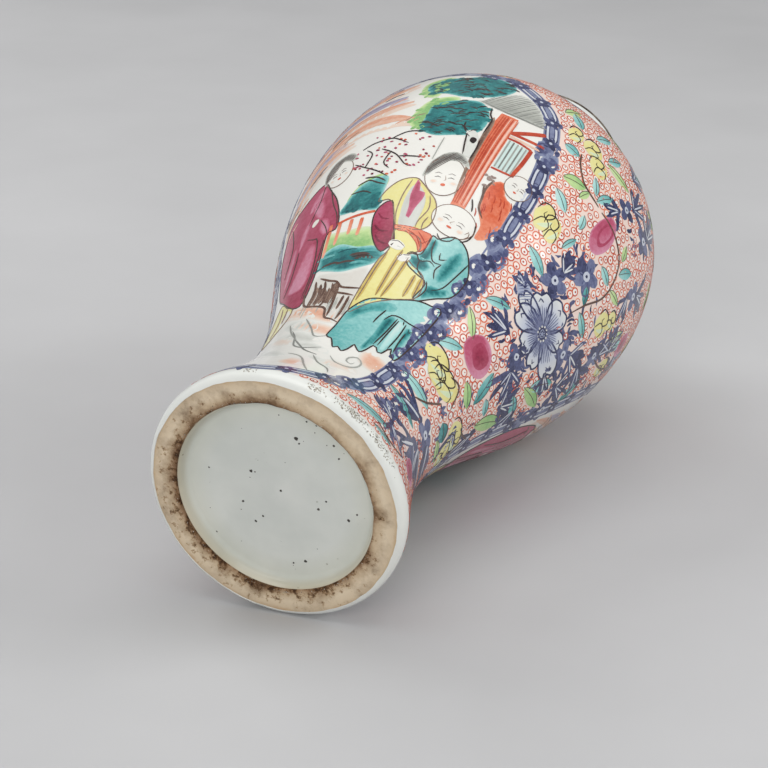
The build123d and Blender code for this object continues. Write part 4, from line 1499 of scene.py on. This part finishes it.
def makeStage():
    bm = bmesh.new()
    bmesh.ops.create_grid(bm, x_segments=60, y_segments=60, size=stageSettings["size"])
    for vert in bm.verts:
        back = max(0.0, vert.co.y - stageSettings["curveFrom"])
        vert.co.z = stageSettings["curve"] * back * back
    mesh = bpy.data.meshes.new("studioFloor")
    bm.to_mesh(mesh)
    bm.free()
    mesh.shade_smooth()
    material, tree, shader = newMaterial("studioPaper",
        {"Roughness": 0.75, "Specular IOR Level": 0.2}, 0)
    grain = addNoise(tree, objectPlace(tree), 9.0, 4.0)
    colour = addRamp(tree, grain, [(0.3, stageSettings["shade"]), (0.7, stageSettings["floor"])])
    tree.links.new(colour, shader.inputs["Base Color"])
    mesh.materials.append(material)
    floor = bpy.data.objects.new("studioFloor", mesh)
    bpy.context.scene.collection.objects.link(floor)


makeStage()
lights = {
    "rightSoftbox": {"place": (0.95, 0.32, 0.62), "size": (0.5, 0.7), "power": 5.2,
        "mirrored": False},
    "rightStrip": {"place": (0.97, 0.34, 0.6), "size": (0.035, 0.36), "power": 0.35,
        "mirrored": True},
    "leftSoftbox": {"place": (-0.95, 0.25, 0.85), "size": (0.7, 0.7), "power": 5.3,
        "mirrored": False},
    "topSoftbox": {"place": (0.0, -0.2, 1.5), "size": (1.4, 1.4), "power": 7.8, "mirrored": True},
    "frontSoftbox": {"place": (0.25, -1.7, 0.75), "size": (1.3, 0.9), "power": 13.5,
        "mirrored": False},
}
for name, light in lights.items():
    lamp = bpy.data.lights.new(name, "AREA")
    lamp.shape = "RECTANGLE"
    lamp.size, lamp.size_y = light["size"]
    lamp.energy = light["power"]
    holder = bpy.data.objects.new(name, lamp)
    holder.location = light["place"]
    holder.rotation_euler = (Vector((0, 0, 0.05)) - holder.location).to_track_quat("-Z",
        "Y").to_euler()
    holder.visible_glossy = light["mirrored"]
    bpy.context.scene.collection.objects.link(holder)

airSettings = {"Color": (0.94, 0.94, 0.94, 1.0), "Strength": 0.39}
world = bpy.data.worlds.new("studioAir")
world.use_nodes = True
for key, value in airSettings.items():
    world.node_tree.nodes["Background"].inputs[key].default_value = value
bpy.context.scene.world = world
bpy.context.scene.view_settings.view_transform = "Standard"

cameraSettings = {"place": (0.23522, -0.62548, 0.28594), "elevation": 21.10, "azimuth": 21.80,
    "lens": 105.9}
camera = bpy.data.objects.new("camera", bpy.data.cameras.new("camera"))
camera.location = cameraSettings["place"]
camera.rotation_euler = (math.radians(90 - cameraSettings["elevation"]), 0,
    math.radians(cameraSettings["azimuth"]))
camera.data.lens = cameraSettings["lens"]
camera.data.sensor_width = 36
camera.data.clip_start = 0.02
bpy.context.scene.collection.objects.link(camera)
bpy.context.scene.camera = camera
